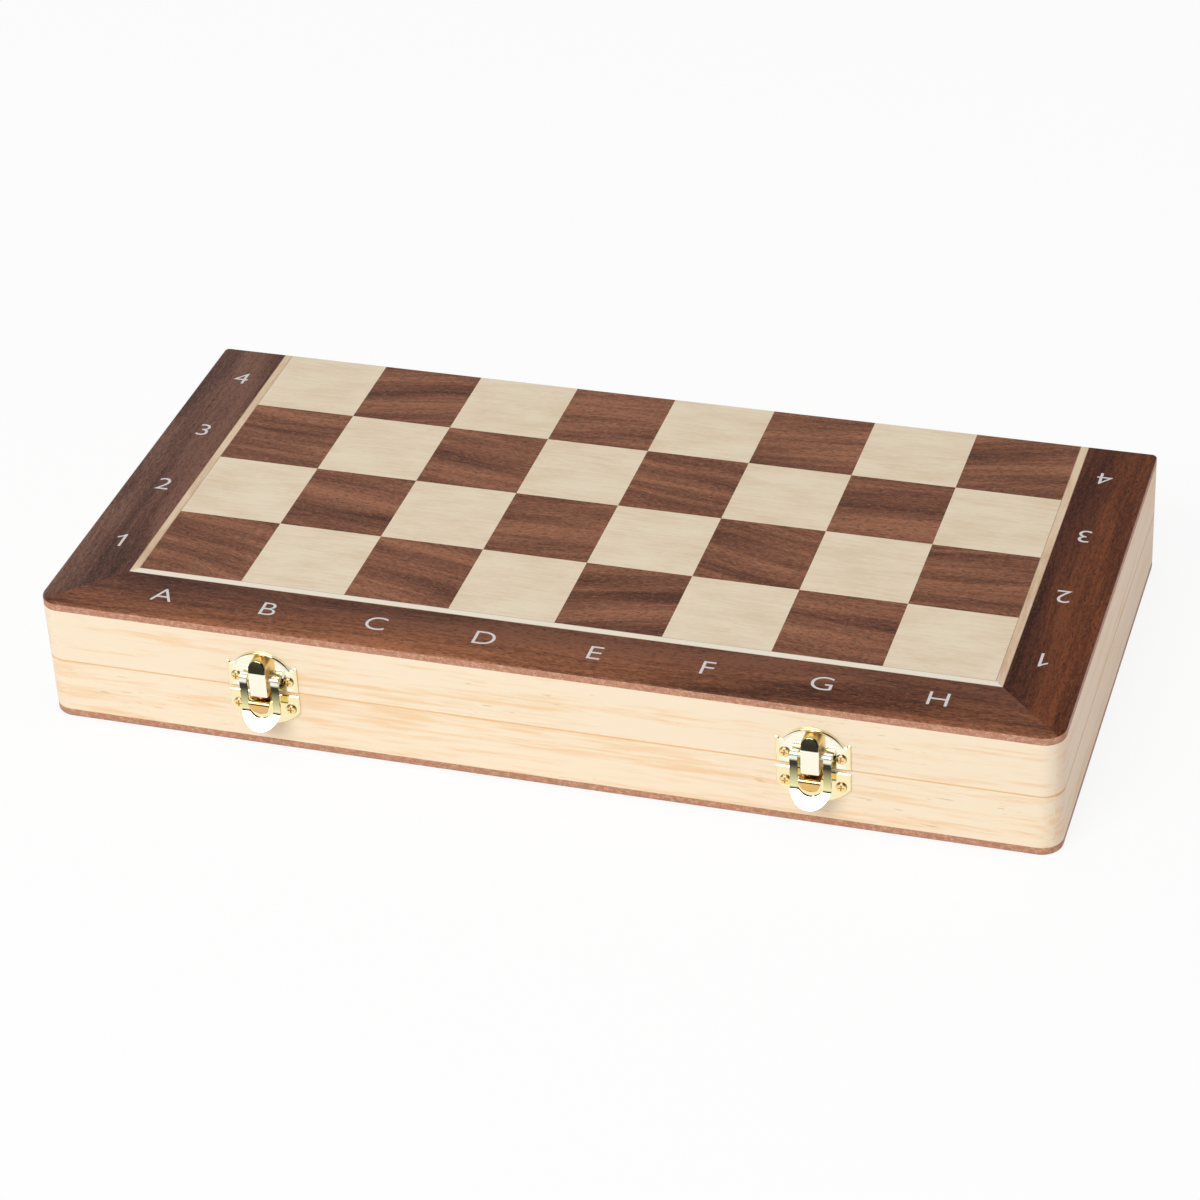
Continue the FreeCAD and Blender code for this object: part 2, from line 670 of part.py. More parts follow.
def lid_plate(name):
    """Arched plate with a bead along its arch and a small horn at either end of it."""
    half = "(plate_width / 2)"
    arch = "(lid_plate_arch / 2)"
    horn = f"({half} - nub_width)"
    horn_top = "(lid_plate_shoulder + nub_height)"
    hollow = (f"({horn} + {arch}) / 2", "lid_plate_shoulder")
    plate = stamping(f"{name}_stamping", [
        (f"-{half}", "lid_plate_foot"), (half, "lid_plate_foot"), (half, horn_top),
        (horn, horn_top), hollow, (arch, "lid_plate_shoulder"),
        ("0", "lid_plate_crown", f"-{arch}", "lid_plate_shoulder"),
        (f"-{hollow[0]}", hollow[1]), (f"-{horn}", horn_top), (f"-{half}", horn_top)])
    rise = "(lid_plate_crown - lid_plate_shoulder)"
    radius = f"(({arch}^2 + {rise}^2) / (2 * {rise}))"
    ring = bind(doc.addObject("Part::Torus", f"{name}_ring"),
                Radius1=f"{radius} - rim_width / 2", Radius2="rim_width / 2")
    place(ring, "0", "-plate_thickness", f"lid_plate_crown - {radius}", X_AXIS, 90)
    reach = box(f"{name}_bead_reach", "plate_width", "2 * rim_width", f"{rise} + overrun",
                f"-{half}", "-plate_thickness - rim_width", "lid_plate_shoulder")
    bead = common(f"{name}_bead", ring, reach)
    holes = screw_holes(f"{name}_hole", "lid", "overrun")
    return cut(f"{name}_plate", fuse(f"{name}_joined", [plate, bead]),
               compound(f"{name}_holes", holes))


def hood_form(name, half_width, front, bend, brow, crown, foot, back):
    """Arch-topped hood whose front slopes back above the bend."""
    body = new_body(name)
    arch = f"({crown} - {half_width})"
    pad(body, f"{name}_face", "XZ_Plane", [
        (f"-{half_width}", foot), (half_width, foot), (half_width, arch),
        ("0", crown, f"-{half_width}", arch)], front)
    cuts = {
        "brow": [(f"-{front} - overrun", bend), (f"-{front}", bend), (f"-{brow}", crown),
                 (f"-{brow}", f"{crown} + overrun"),
                 (f"-{front} - overrun", f"{crown} + overrun")],
        "seat": [("overrun", f"{foot} - overrun"), ("overrun", f"{crown} + overrun"),
                 (f"-{back}", f"{crown} + overrun"), (f"-{back}", f"{foot} - overrun")],
    }
    for part, points in cuts.items():
        sketch = new_sketch(body, f"{name}_{part}_outline", "YZ_Plane")
        draw_loop(sketch, points)
        feature = body.newObject("PartDesign::Pocket", f"{name}_{part}")
        feature.Profile = sketch
        feature.Midplane = True
        bind(feature, Length="plate_width")
    return body, feature


def hood(name):
    """Open-bottomed hood of sheet metal that stands on the lid plate and carries the pin."""
    outer, form = hood_form(f"{name}_outer", "(hood_width / 2)", "hood_depth", "hood_bend",
                            "hood_brow_depth", "hood_crown", "lid_plate_foot", "plate_thickness")
    seat, foot = measure("-plate_thickness"), measure("lid_plate_foot")
    dress(outer, "Fillet", f"{name}_rounding", form,
          lambda edge: edge.BoundBox.YMax < seat - 1e-6 and edge.BoundBox.ZMax > foot + 1e-6,
          Radius="hood_round")
    inner, _ = hood_form(f"{name}_inner", "(hood_width / 2 - sheet_thickness)",
                         "(hood_depth - sheet_thickness)", "(hood_bend - sheet_thickness / 2)",
                         "(hood_brow_depth - sheet_thickness)", "(hood_crown - sheet_thickness)",
                         "(lid_plate_foot - overrun)", "0")
    bore = rod(f"{name}_bore", "latch_pin_radius + running_clearance", "lever_width",
               "-lever_width / 2", "-pivot_depth", "pivot_height")
    return cut(f"{name}_shell", outer, compound(f"{name}_hollow", [fuse(f"{name}_room",
                                                                        [inner, bore])]))


def lever(name):
    """Ring lever: two arms rolled round the pin, with a half-round thumb tab bent outwards."""
    half = "(lever_width / 2)"
    gap = "(lever_opening / 2)"
    drop = "tab_reach * cos(lever_flare)"
    outline = prism(f"{name}_face", "XZ_Plane", [
        (f"-{half}", "pivot_height"), (f"-{half}", "-lever_bend"),
        ("0", f"-lever_bend - {drop}", half, "-lever_bend"), (half, "pivot_height"),
        (gap, "pivot_height"), (gap, "-lever_bend"),
        ("0", "-lever_bend - tab_opening * cos(lever_flare)", f"-{gap}", "-lever_bend"),
        (f"-{gap}", "pivot_height")], "pivot_depth + eye_radius + 2 * tab_reach")
    front = "(pivot_depth + eye_radius)"
    back = f"({front} - sheet_thickness)"
    rise = "(tab_reach * cos(lever_flare) + sheet_thickness * sin(lever_flare))"
    run = f"{rise} * tan(lever_flare)"
    centre = f"(-{front} - lever_bend_radius)"
    level_line = "(-lever_bend + lever_bend_radius * tan(lever_flare / 2))"

    def bend_point(radius, angle):
        return (f"{centre} + {radius} * cos({angle})", f"{level_line} - {radius} * sin({angle})")

    near = "lever_bend_radius"
    far = "(lever_bend_radius + sheet_thickness)"
    strip = prism(f"{name}_strip", "YZ_Plane", [
        (f"-{back}", "pivot_height"), (f"-{front}", "pivot_height"), bend_point(near, "0"),
        (*bend_point(near, "(lever_flare / 2)"), *bend_point(near, "lever_flare")),
        (f"-{front} - {run}", f"-lever_bend - {rise}"),
        (f"-{front} - {run} + sheet_thickness / cos(lever_flare)", f"-lever_bend - {rise}"),
        bend_point(far, "lever_flare"),
        (*bend_point(far, "(lever_flare / 2)"), *bend_point(far, "0"))],
        "lever_width", symmetric=True)
    arm = f"({half} - {gap})"
    eyes = [rod(f"{name}_eye_{number}", "eye_radius", arm, start, "-pivot_depth", "pivot_height")
            for number, start in enumerate((f"-{half}", gap))]
    joined = fuse(f"{name}_joined", [common(f"{name}_sheet", outline, strip), *eyes])
    bore = rod(f"{name}_bore", "latch_pin_radius + running_clearance",
               "lever_width + 2 * overrun", f"-{half} - overrun", "-pivot_depth", "pivot_height")
    return cut(f"{name}_bored", joined, bore)


def hook_plate(name):
    """Lower plate with a lip that juts out and turns down, for the ring to hang under."""
    half = "plate_width / 2"
    holes = screw_holes(f"{name}_hole", "base", "overrun")
    sheet_metal = stamping(f"{name}_stamping", [
        (f"-{half}", "-hook_plate_top"), (f"-{half}", "-hook_plate_shoulder"),
        ("0", "-hook_plate_crown", half, "-hook_plate_shoulder"), (half, "-hook_plate_top")])
    inner_reach = "(hook_reach - sheet_thickness)"
    outer_bend = "(hook_bend + sheet_thickness)"
    diagonal = "(1 - sqrt(0.5))"
    profile = prism(f"{name}_profile", "YZ_Plane", [
        ("0", "-hook_top"), (f"-hook_reach + {outer_bend}", "-hook_top"),
        (f"-hook_reach + {outer_bend} * {diagonal}", f"-hook_top - {outer_bend} * {diagonal}",
         "-hook_reach", f"-hook_top - {outer_bend}"),
        ("-hook_reach + hook_rake", "-hook_tip - overrun"),
        (f"-{inner_reach} + hook_rake", "-hook_tip - overrun"),
        (f"-{inner_reach}", f"-hook_top - {outer_bend}"),
        (f"-{inner_reach} + hook_bend * {diagonal}",
         f"-hook_top - sheet_thickness - hook_bend * {diagonal}",
         f"-{inner_reach} + hook_bend", "-hook_top - sheet_thickness"),
        ("0", "-hook_top - sheet_thickness")], "hook_width", symmetric=True)
    tip_rise = "(hook_tip - hook_bend)"
    outline = prism(f"{name}_lip_outline", "XZ_Plane", [
        ("-hook_width / 2", "-hook_top"), ("-hook_width / 2", f"-hook_top - {outer_bend}"),
        ("-hook_tip_width / 2", f"-{tip_rise}"),
        ("0", "-hook_tip", "hook_tip_width / 2", f"-{tip_rise}"),
        ("hook_width / 2", f"-hook_top - {outer_bend}"), ("hook_width / 2", "-hook_top")],
        "hook_reach")
    lip = common(f"{name}_lip", profile, outline)
    return cut(f"{name}_plate", fuse(f"{name}_joined", [sheet_metal, lip]),
               compound(f"{name}_holes", holes))


def latch_screw():
    """Pan-headed cross-slot screw along Z, with the seat of its head at the origin."""
    shaft = turned("latch_screw_stock", [
        *shaped(SCREW_HEAD_SHARES, "screw_head_radius", "screw_head_height"),
        ("screw_shank_radius", "0"), ("screw_shank_radius", "-screw_length + screw_shank_radius"),
        ("0", "-screw_length")])
    arm = f"({SCREW_CROSS_SHARE} * screw_head_radius)"
    bars = []
    for number, (length, width) in enumerate(((arm, "screw_cross_width"),
                                              ("screw_cross_width", arm))):
        bars.append(box(f"latch_screw_slot_{number}", length, width, "screw_head_height",
                        f"-{length} / 2", f"-{width} / 2", "screw_head_height - screw_cross_depth"))
    return cut("latch_screw", shaft, fuse("latch_screw_cross", bars))


def at_latch(item, name, side):
    """A copy of a clasp piece, set on the front wall at the seam."""
    return place(copy_of(item, f"{side}_{name}"), LATCH_CENTRES[side], FRONT, SEAM)


def latches():
    pin = rod("latch_pin_rod", "latch_pin_radius", "lever_width", "-lever_width / 2",
              "-pivot_depth", "pivot_height")
    pieces = {
        "latch_lid_plate": lid_plate("lid_plate"),
        "latch_hood": hood("hood"),
        "latch_pin": compound("latch_pin_set", [pin]),
        "latch_lever": compound("lever_set", [lever("lever")]),
        "latch_hook_plate": hook_plate("hook_plate"),
    }
    for side in LATCH_CENTRES:
        for name, item in pieces.items():
            node(compound(f"{side}_{name}_piece", [at_latch(item, f"{name}_copy", side)]),
                 f"{side}_{name}")
    screw = latch_screw()
    for half in ("lid", "base"):
        copies = []
        for side, centre in LATCH_CENTRES.items():
            for number, (x, z) in enumerate(latch_screw_places(half)):
                link = copy_of(screw, f"{half}_{side}_latch_screw_{number}")
                copies.append(place(link, f"{centre} + {x}", f"{FRONT} - plate_thickness",
                                    f"{SEAM} + {z}", X_AXIS, 90))
        node(compound(f"{half}_latch_screw_set", copies), f"{half}_latch_screws")


def latch_pilots(half):
    """Pilot holes for the clasp screws in one half's front wall."""
    depth = "(screw_length - plate_thickness + fit_clearance)"
    return [cylinder(f"{half}_{side}_latch_pilot_{number}", LATCH_PILOT, f"{depth} + overrun",
                     f"{centre} + {x}", f"{FRONT} + {depth}", f"{SEAM} + {z}", X_AXIS, 90)
            for side, centre in LATCH_CENTRES.items()
            for number, (x, z) in enumerate(latch_screw_places(half))]


# Chessmen and checkers, built upright and then laid in the base

def shaped(shares, across, along):
    """A share outline written in two sizes; a dome is an arc centred on the axis."""
    points = []
    for point in shares:
        if point[0] == "dome":
            points.append(dome_to(points[-1], f"({point[1]} * {along})"))
        else:
            scales = (across, along)
            points.append(tuple(f"({share} * {scales[index % 2]})"
                                for index, share in enumerate(point)))
    return points


def dome_to(start, top):
    """The arc from a point to the axis at a height, round a centre on the axis."""
    radius, height = start[-2:]
    centre = f"(({top}^2 - {height}^2 - {radius}^2) / (2 * ({top} - {height})))"
    diagonal = f"(({top} - {centre}) * sqrt(0.5))"
    return (diagonal, f"({centre} + {diagonal})", "0", top)


def profile_in(shares, base, height):
    """A share profile written in a man's own base diameter and height."""
    return shaped(shares, f"{base} / 2", height)


def pawn():
    return turned("pawn", profile_in(PAWN_SHARES, "pawn_base", "pawn_height"))


def rook():
    tower = turned("rook_tower", profile_in(ROOK_SHARES, "rook_base", "rook_height"))
    width = f"({ROOK_SLOT_SHARES['width']} * rook_base / 2)"
    floor = f"({ROOK_SLOT_SHARES['floor']} * rook_height)"
    slots = []
    for number in range(ROOK_SLOTS):
        bar = box(f"rook_slot_{number}", "rook_base", width, "rook_height", "-rook_base / 2",
                  f"-{width} / 2", floor)
        turn = copy_of(bar, f"rook_slot_turn_{number}")
        turn.LinkTransform = True
        slots.append(place(turn, axis=Z_AXIS, turn=number * 180 / ROOK_SLOTS))
    return cut("rook", tower, fuse("rook_slots", slots))


def bishop():
    mitre = turned("bishop_turning", profile_in(BISHOP_SHARES, "bishop_base", "bishop_height"))
    width = f"({BISHOP_SLOT_SHARES['width']} * bishop_base / 2)"
    slot = box("bishop_slot", "bishop_base", "bishop_base", width, "0", "-bishop_base / 2",
               f"{BISHOP_SLOT_SHARES['height']} * bishop_height")
    slot.Placement.Rotation = FreeCAD.Rotation(Y_AXIS, -BISHOP_SLOT_TILT)
    return cut("bishop", mitre, slot)


def queen():
    turning = turned("queen_turning", profile_in(QUEEN_SHARES, "queen_base", "queen_height"))
    notches = []
    for number in range(CROWN_NOTCHES):
        angle = number * 360 / CROWN_NOTCHES
        notch = cylinder(f"queen_notch_{number}", f"{QUEEN_NOTCH_SHARES['radius']} * queen_base / 2",
                         "queen_base / 2",
                         f"{QUEEN_NOTCH_SHARES['reach']} * queen_base / 2 * cos({angle})",
                         f"{QUEEN_NOTCH_SHARES['reach']} * queen_base / 2 * sin({angle})",
                         f"{QUEEN_NOTCH_SHARES['height']} * queen_height")
        outward = FreeCAD.Rotation(Z_AXIS, angle).multiply(FreeCAD.Rotation(Y_AXIS, 90))
        notch.Placement.Rotation = outward
        notches.append(notch)
    return cut("queen", turning, compound("queen_notches", notches))


def king():
    turning = turned("king_turning", profile_in(KING_SHARES, "king_base", "king_height"))
    shares = KING_CROSS_SHARES
    stem = f"({shares['stem']} * king_base / 2)"
    arm = f"({shares['arm']} * king_base / 2)"
    thick = f"({shares['thickness']} * king_base / 2)"
    start = f"({KING_SHARES[-1][1]} * king_height - {stem} / 2)"
    upright_bar = box("king_cross_stem", stem, thick, f"king_height - {start}", f"-{stem} / 2",
                      f"-{thick} / 2", start)
    cross_bar = box("king_cross_arm", arm, thick, stem, f"-{arm} / 2", f"-{thick} / 2",
                    f"{shares['arm_height']} * king_height - {stem} / 2")
    return fuse("king", [turning, upright_bar, cross_bar])


def knight():
    """Turned foot with a head carved from three sides: profile, front and top."""
    foot = turned("knight_foot", profile_in(KNIGHT_FOOT_SHARES, "knight_base", "knight_height"))
    profile = prism("knight_profile", "XZ_Plane",
                    profile_in(KNIGHT_HEAD_SHARES, "knight_base", "knight_height"),
                    "knight_width", symmetric=True)
    front = prism("knight_front", "YZ_Plane",
                  shaped(KNIGHT_FRONT_SHARES, "knight_width", "knight_height"),
                  "2 * knight_base", symmetric=True)
    top = prism("knight_top", "XY_Plane",
                shaped(KNIGHT_TOP_SHARES, "knight_base / 2", "knight_width"), "knight_height")
    head = common("knight_head", common("knight_slab", profile, front), top)
    eye, mouth = KNIGHT_EYE_SHARES, KNIGHT_MOUTH_SHARES
    carving = [box("knight_mouth", "knight_base / 2", "knight_width",
                   f"{mouth['width']} * knight_height", f"{mouth['forward']} * knight_base / 2",
                   "-knight_width / 2", f"{mouth['height']} * knight_height")]
    for number, start in enumerate((f"-{eye['depth']} * knight_width",
                                    f"({eye['depth']} + 1) * knight_width")):
        carving.append(cylinder(
            f"knight_eye_{number}", f"{eye['radius']} * knight_base / 2", "knight_width",
            f"{eye['forward']} * knight_base / 2", start, f"{eye['height']} * knight_height",
            X_AXIS, 90))
    return fuse("knight", [foot, cut("knight_carved", head, compound("knight_carving", carving))])


def checker():
    return turned("checker", shaped(CHECKER_SHARES, "checker_diameter / 2", "checker_thickness"))


FLOOR = f"({PANEL} + felt_thickness)"


def reach_points(man, sideways):
    """Height and reach from the axis of points on a man's edges; sideways takes Y alone."""
    edges = [edge for edge in man.Shape.Edges if not edge.Degenerated]
    points = [point for edge in edges for point in edge.discretize(EDGE_SAMPLES)]
    return [(point.z, abs(point.y) if sideways else math.hypot(point.x, point.y))
            for point in points]


def lying_tilt(points, rim, radius):
    """Angle by which a man lying on its rim tips until its head meets the floor."""
    return min(math.atan2(radius - half, height - rim)
               for height, half in points if height > HEAD_START_SHARE * rim)


def lay(man, name, x, y, towards, tilt, rim, radius):
    """A copy of a man lying on the felt, its foot's centre at x, y and its head along Y."""
    axis = FreeCAD.Vector(0, towards * math.cos(tilt), -math.sin(tilt))
    up = FreeCAD.Vector(0, towards * math.sin(tilt), math.cos(tilt))
    side = up.cross(axis)
    height = measure(f"{FLOOR} + lying_clearance") + radius * math.cos(tilt) + rim * math.sin(tilt)
    link = copy_of(man, name)
    link.Placement = FreeCAD.Placement(FreeCAD.Vector(x, y, height),
                                       FreeCAD.Rotation(side, up, axis, "ZYX"))
    return link


def men():
    """Both sides' chessmen in three rows, kings in the middle, and the checkers in stacks."""
    kinds = {"king": king(), "queen": queen(), "bishop": bishop(), "knight": knight(),
             "rook": rook(), "pawn": pawn()}
    disc = checker()
    doc.recompute()
    rims = {"king": KING_SHARES, "queen": QUEEN_SHARES, "bishop": BISHOP_SHARES,
            "knight": KNIGHT_FOOT_SHARES, "rook": ROOK_SHARES, "pawn": PAWN_SHARES}
    laid = {}
    for kind, man in kinds.items():
        radius = measure(f"{kind}_base / 2")
        rim = rims[kind][3][1] * measure(f"{kind}_height")
        points = reach_points(man, sideways=kind == "knight")
        laid[kind] = (man, lying_tilt(points, rim, radius), rim, radius)
    groups = {}

    def put(side, kind, x, y, towards):
        man, tilt, rim, radius = laid[kind]
        group = groups.setdefault(f"{side}_{kind}", [])
        group.append(lay(man, f"{side}_{kind}_{len(group)}", x, y, towards, tilt, rim, radius))

    gap, row = measure("man_gap"), measure("row_gap")
    front = measure(f"{FRONT} + wall_thickness") + row
    back = measure(f"{BACK} - wall_thickness") - row
    sides = {"light": -1, "dark": 1}
    pawn_radius = laid["pawn"][3]
    pawn_pitch = pawn_radius * (1 + PAWN_HEAD_SHARE) + gap
    pawn_back = back - measure("queen_height") - row
    pawn_front = pawn_back - measure("pawn_height")
    for side, sign in sides.items():
        x = gap / 2
        for kind in ("king", "queen", "bishop", "bishop", "knight", "knight"):
            radius = laid[kind][3]
            put(side, kind, sign * (x + radius), back - radius * math.sin(laid[kind][1]), -1)
            x += 2 * radius + gap
        put(side, "pawn", sign * (gap / 2 + pawn_radius),
            front + pawn_radius * math.sin(laid["pawn"][1]), 1)
        x = measure("king_base") + gap + pawn_radius
        for number in range(PAWNS_PER_SIDE - 1):
            head_front = number % 2 == 0
            put(side, "pawn", sign * (x + pawn_pitch * number),
                pawn_back if head_front else pawn_front, -1 if head_front else 1)
    radius = measure("checker_diameter / 2")
    for side, sign in sides.items():
        x = measure(f"{WIDTH} / 2 - wall_thickness") - gap
        for number in range(ROOKS_PER_SIDE):
            rook_radius = laid["rook"][3]
            put(side, "rook", sign * (x - rook_radius),
                front + rook_radius * math.sin(laid["rook"][1]), 1)
            x -= 2 * rook_radius + gap
        for stack in range(STACKS_PER_SIDE):
            for layer in range(STACK):
                link = copy_of(disc, f"{side}_checker_{stack}_{layer}")
                link.Placement.Base = FreeCAD.Vector(
                    sign * (x - radius), front + radius,
                    measure(f"{FLOOR} + {layer} * checker_thickness"))
                groups.setdefault(f"{side}_checker", []).append(link)
            x -= 2 * radius + gap
    for name, links in groups.items():
        plural = name if len(links) == 1 else f"{name}s"
        node(compound(f"{name}_set", links), plural)


def check_document():
    """Stop on any object that failed to compute or any piece without a sound shape."""
    doc.recompute()
    failed = [item.Name for item in doc.Objects
              if {"Invalid", "Error"} & set(item.State)]
    failed += [name for name, item in nodes.items()
               if item.Shape.isNull() or not item.Shape.isValid() or not item.Shape.Solids]
    if failed:
        raise RuntimeError(f"these did not build: {', '.join(failed)}")


def write_parts():
    os.makedirs("parts", exist_ok=True)
    for name, item in nodes.items():
        item.Shape.exportStep(f"parts/{name}.step")
        print(f"{name}: {len(item.Shape.Solids)} solids, {item.Shape.Volume:.1f} mm3")


for half in ("base", "lid"):
    board(half)
    walls(half, latch_pilots(half), hinge_recesses(half))
    felt(half)
hinges()
latches()
men()
check_document()
write_parts()
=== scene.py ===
"""Looks of the folding chess and checkers set: veneers, pine, clasps, felt, men, coordinates."""
import math

import bmesh
import bpy
from bpy.props import FloatProperty, FloatVectorProperty, PointerProperty
from mathutils import Matrix, Vector


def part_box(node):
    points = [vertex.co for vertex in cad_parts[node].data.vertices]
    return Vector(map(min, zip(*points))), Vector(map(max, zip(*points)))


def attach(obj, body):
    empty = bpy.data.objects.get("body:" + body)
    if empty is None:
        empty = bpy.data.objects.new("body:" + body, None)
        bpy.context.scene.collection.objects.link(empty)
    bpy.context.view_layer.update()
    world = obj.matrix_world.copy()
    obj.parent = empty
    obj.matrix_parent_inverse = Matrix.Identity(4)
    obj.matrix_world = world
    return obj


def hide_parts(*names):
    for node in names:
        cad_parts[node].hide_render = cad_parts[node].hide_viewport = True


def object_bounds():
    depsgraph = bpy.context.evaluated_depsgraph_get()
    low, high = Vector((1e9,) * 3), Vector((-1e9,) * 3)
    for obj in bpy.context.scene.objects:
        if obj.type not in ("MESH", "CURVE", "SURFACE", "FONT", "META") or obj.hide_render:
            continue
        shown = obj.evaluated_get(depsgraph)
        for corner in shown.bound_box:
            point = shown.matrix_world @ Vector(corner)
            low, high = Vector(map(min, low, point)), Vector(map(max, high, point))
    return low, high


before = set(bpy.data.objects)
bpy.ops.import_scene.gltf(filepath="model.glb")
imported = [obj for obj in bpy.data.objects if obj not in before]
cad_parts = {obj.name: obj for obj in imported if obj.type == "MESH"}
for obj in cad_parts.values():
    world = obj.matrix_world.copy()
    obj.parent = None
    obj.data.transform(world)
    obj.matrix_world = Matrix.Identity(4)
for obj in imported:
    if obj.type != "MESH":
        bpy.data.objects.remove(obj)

CAD_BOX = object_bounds()

bl_info = {
    "name": "Folding chess and checkers set",
    "version": (1, 0, 0),
    "blender": (4, 5, 0),
    "location": "View3D > Sidebar > Chess set",
    "description": "Dresses the packed chess box with its finishes, coordinates, felt and stage",
    "category": "Object",
}

HALVES = ("base", "lid")
FILE_LETTERS = "ABCDEFGH"
RANKS = {"lid": "1234", "base": "8765"}
KINDS = ("king", "queen", "bishops", "knights", "rooks", "pawns", "checkers")
# Height of a capital in shares of the letter size, and a figure one in shares of its height
CAPITAL_SHARE = 0.729
ONE_SHARES = ((0.30, 0.0), (0.43, 0.0), (0.43, 1.0), (0.345, 1.0), (0.225, 0.86), (0.06, 0.75),
              (0.06, 0.625), (0.19, 0.695), (0.30, 0.785))
# Steps in each curve of a character
CURVE_STEPS = 8
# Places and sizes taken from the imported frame
SQUARES_LOW = Vector(map(min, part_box("lid_dark_squares")[0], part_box("lid_light_squares")[0]))
SQUARES_HIGH = Vector(map(max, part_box("lid_dark_squares")[1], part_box("lid_light_squares")[1]))
SQUARE = (SQUARES_HIGH.x - SQUARES_LOW.x) / len(FILE_LETTERS)
STRINGING = SQUARES_LOW.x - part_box("lid_stringing")[0].x
SEAM = (CAD_BOX[0][2] + CAD_BOX[1][2]) / 2
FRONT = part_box("lid_core_panel")[0].y
PLATE_LOW, PLATE_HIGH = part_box("right_latch_lid_plate")
# Half width of the soft line where the front and side stringing meet
MITRE = 0.0001
# Height above the seam where a hood bends back, and the slope and height of its brow above that
HOOD_BEND = 0.0103
HOOD_SLOPE = 0.306
BROW_HEIGHT = 0.0049
# Heights above the seam of the two ends of a ring's arms
ARM_LOW, ARM_HIGH = -0.0078, 0.0056
# Depths before the front wall between which the painted reflection on a hood's flank and the
# painted shade on a hook's lip set in
FLANK_DEPTHS = (0.0057, 0.0050)
LIP_DEPTHS = (0.0012, 0.0024)
# Upward part of a wall's normal between which its rim ends and its side begins
RIM_FACING = (0.97, 0.85)
# Depths under a screw's top between which the painted shade in its recess darkens
RECESS_DEPTHS = (0.0002, 0.00045)
# Shares of a lid plate's half width and of its height where its painted highlight gives way to
# deeper gold
PLATE_END_SHARE, PLATE_TOP_SHARE = 0.72, 0.80
# Roughness that brushed streaks and orange peel add to the plating or take from it
CLASP_BRUSHING, HINGE_BRUSHING = 0.06, 0.22
PEEL_ROUGHNESS = 0.06
# Roughness of the clasps' screws and pins, and what each tint adds where it is strongest
SCREW_ROUGHNESS, PIN_ROUGHNESS = 0.2, 0.45
DULLING = {"ring": 0.25, "hood": 0.28, "lid": 0.05, "hook": 0.1, "screw": 0.15}
# Waves a metre in each layer of a veneer, along its grain and across it
WALNUT_WAVES = {"sway": (11.0, 22.0), "streak": (26.0, 420.0), "speck": (260.0, 1100.0),
                "grain": (600.0, 2000.0), "pore": (420.0, 1700.0), "fibre": (560.0, 1700.0)}
MAPLE_WAVES = {"sway": (20.0, 30.0), "cloud": (40.0, 90.0), "streak": (55.0, 700.0),
               "fibre": (300.0, 2000.0)}
# Bands of the walnut: their waves, their share of the tone, and the spread of the tone's stops
BORDER_BANDS = ((7.0, 55.0), 0.46, 0.09)
SQUARE_BANDS = ((7.0, 95.0), 0.38, 0.105)
TONE_MIDDLE = 0.49
# How far a veneer's figure moves with chance, along its grain and across it, and how it slants
WALNUT_MOVES, MAPLE_MOVES = (3.7, 1.9), (2.3, 1.3)
SQUARE_SLANT = 0.5
# How far the sway bends a grain to either side, in all
SWAY = {"walnut": 0.010, "maple": 0.006, "pine": 0.006}
# Waves a metre in each layer of the pine: along the wall, up it and through it
PINE_WAVES = {"sway": (7.0, 26.0, 26.0), "ring": (13.0, 170.0, 120.0),
              "line": (42.0, 640.0, 500.0), "fibre": (90.0, 2000.0, 2000.0),
              "tick": (150.0, 1050.0, 800.0), "patch": (16.0, 60.0, 60.0)}
# Waves a metre along X, Y and Z in each layer of the other finishes
PANEL_WAVES = {"coarse": (500.0, 500.0, 700.0), "fine": (2600.0, 2600.0, 3000.0)}
TURNED_WAVES = {"sway": (60.0, 20.0, 60.0), "ring": (240.0, 12.0, 240.0),
                "fibre": (1300.0, 90.0, 1300.0)}
PLATING_WAVES = {"peel": (420.0, 420.0, 420.0), "hair": (300.0, 5200.0, 5200.0)}
FELT_WAVES = {"cloud": (90.0, 90.0, 90.0), "fuzz": (1900.0, 1900.0, 1900.0),
              "fibre": (700.0, 2600.0, 900.0)}
INK_WAVES = (900.0, 2600.0, 900.0)
# Range of the roughness over each finish, and the middle of it where no setting gives one
UNEVENNESS = {"walnut": 0.16, "maple": 0.12, "pine": 0.14, "panel": 0.2, "turned": 0.14,
              "ink": 0.2}
PANEL_ROUGHNESS, INK_ROUGHNESS = 0.6, 0.45
# Share of its brightness that worn ink keeps
INK_WORN_SHARE = 0.6
# Depth of the relief in each finish
RELIEF = {"walnut": 0.00005, "maple": 0.00002, "pine": 0.00004, "panel": 0.00006,
          "turned": 0.00003, "plating": 0.00002, "felt": 0.0003}
# Random seeds of the boards: the first, the step from side to side and from half to half
BORDER_SEEDS = (0.31, 0.17, 0.53)
WALL_SEEDS = (0.0, 1.7, 7.3)
# Seed of the stringing, and the step from the light men to the dark ones
STRINGING_SEED = 0.37
MEN_SEED_STEP = 3.1
# Ripples of the felt's face and the waves that bend them, in radians a metre, and that bend
RIPPLE_X, RIPPLE_Y = 410.0, 530.0
BEND_WAVES_X, BEND_WAVES_Y = 230.0, 170.0
BEND_X, BEND_Y = 3.0, 2.0
# Share of the felt's span from its middle where the rim begins, and how many naps it sinks
FELT_RIM_SHARE = 0.4999
RIM_NAPS = 2.0
# Gap between the floor and the base, which leaves room for the ink under it
FLOOR_DROP = 0.00003
# Width of the camera's sensor in millimetres, and how far it sees in metres
SENSOR = 36.0
VIEW_REACH = 60.0
# Limits between which the room that gloss shows turns dim: the upward, rightward and forward
# part of a direction, and the distance of the floor before the middle of the set
CEILING_RISE = (0.20, 0.62)
CEILING_SIDE = (-0.52, -0.20)
ROOM_AHEAD = (0.25, 0.75)
FLOOR_AHEAD = (0.18, 0.38)


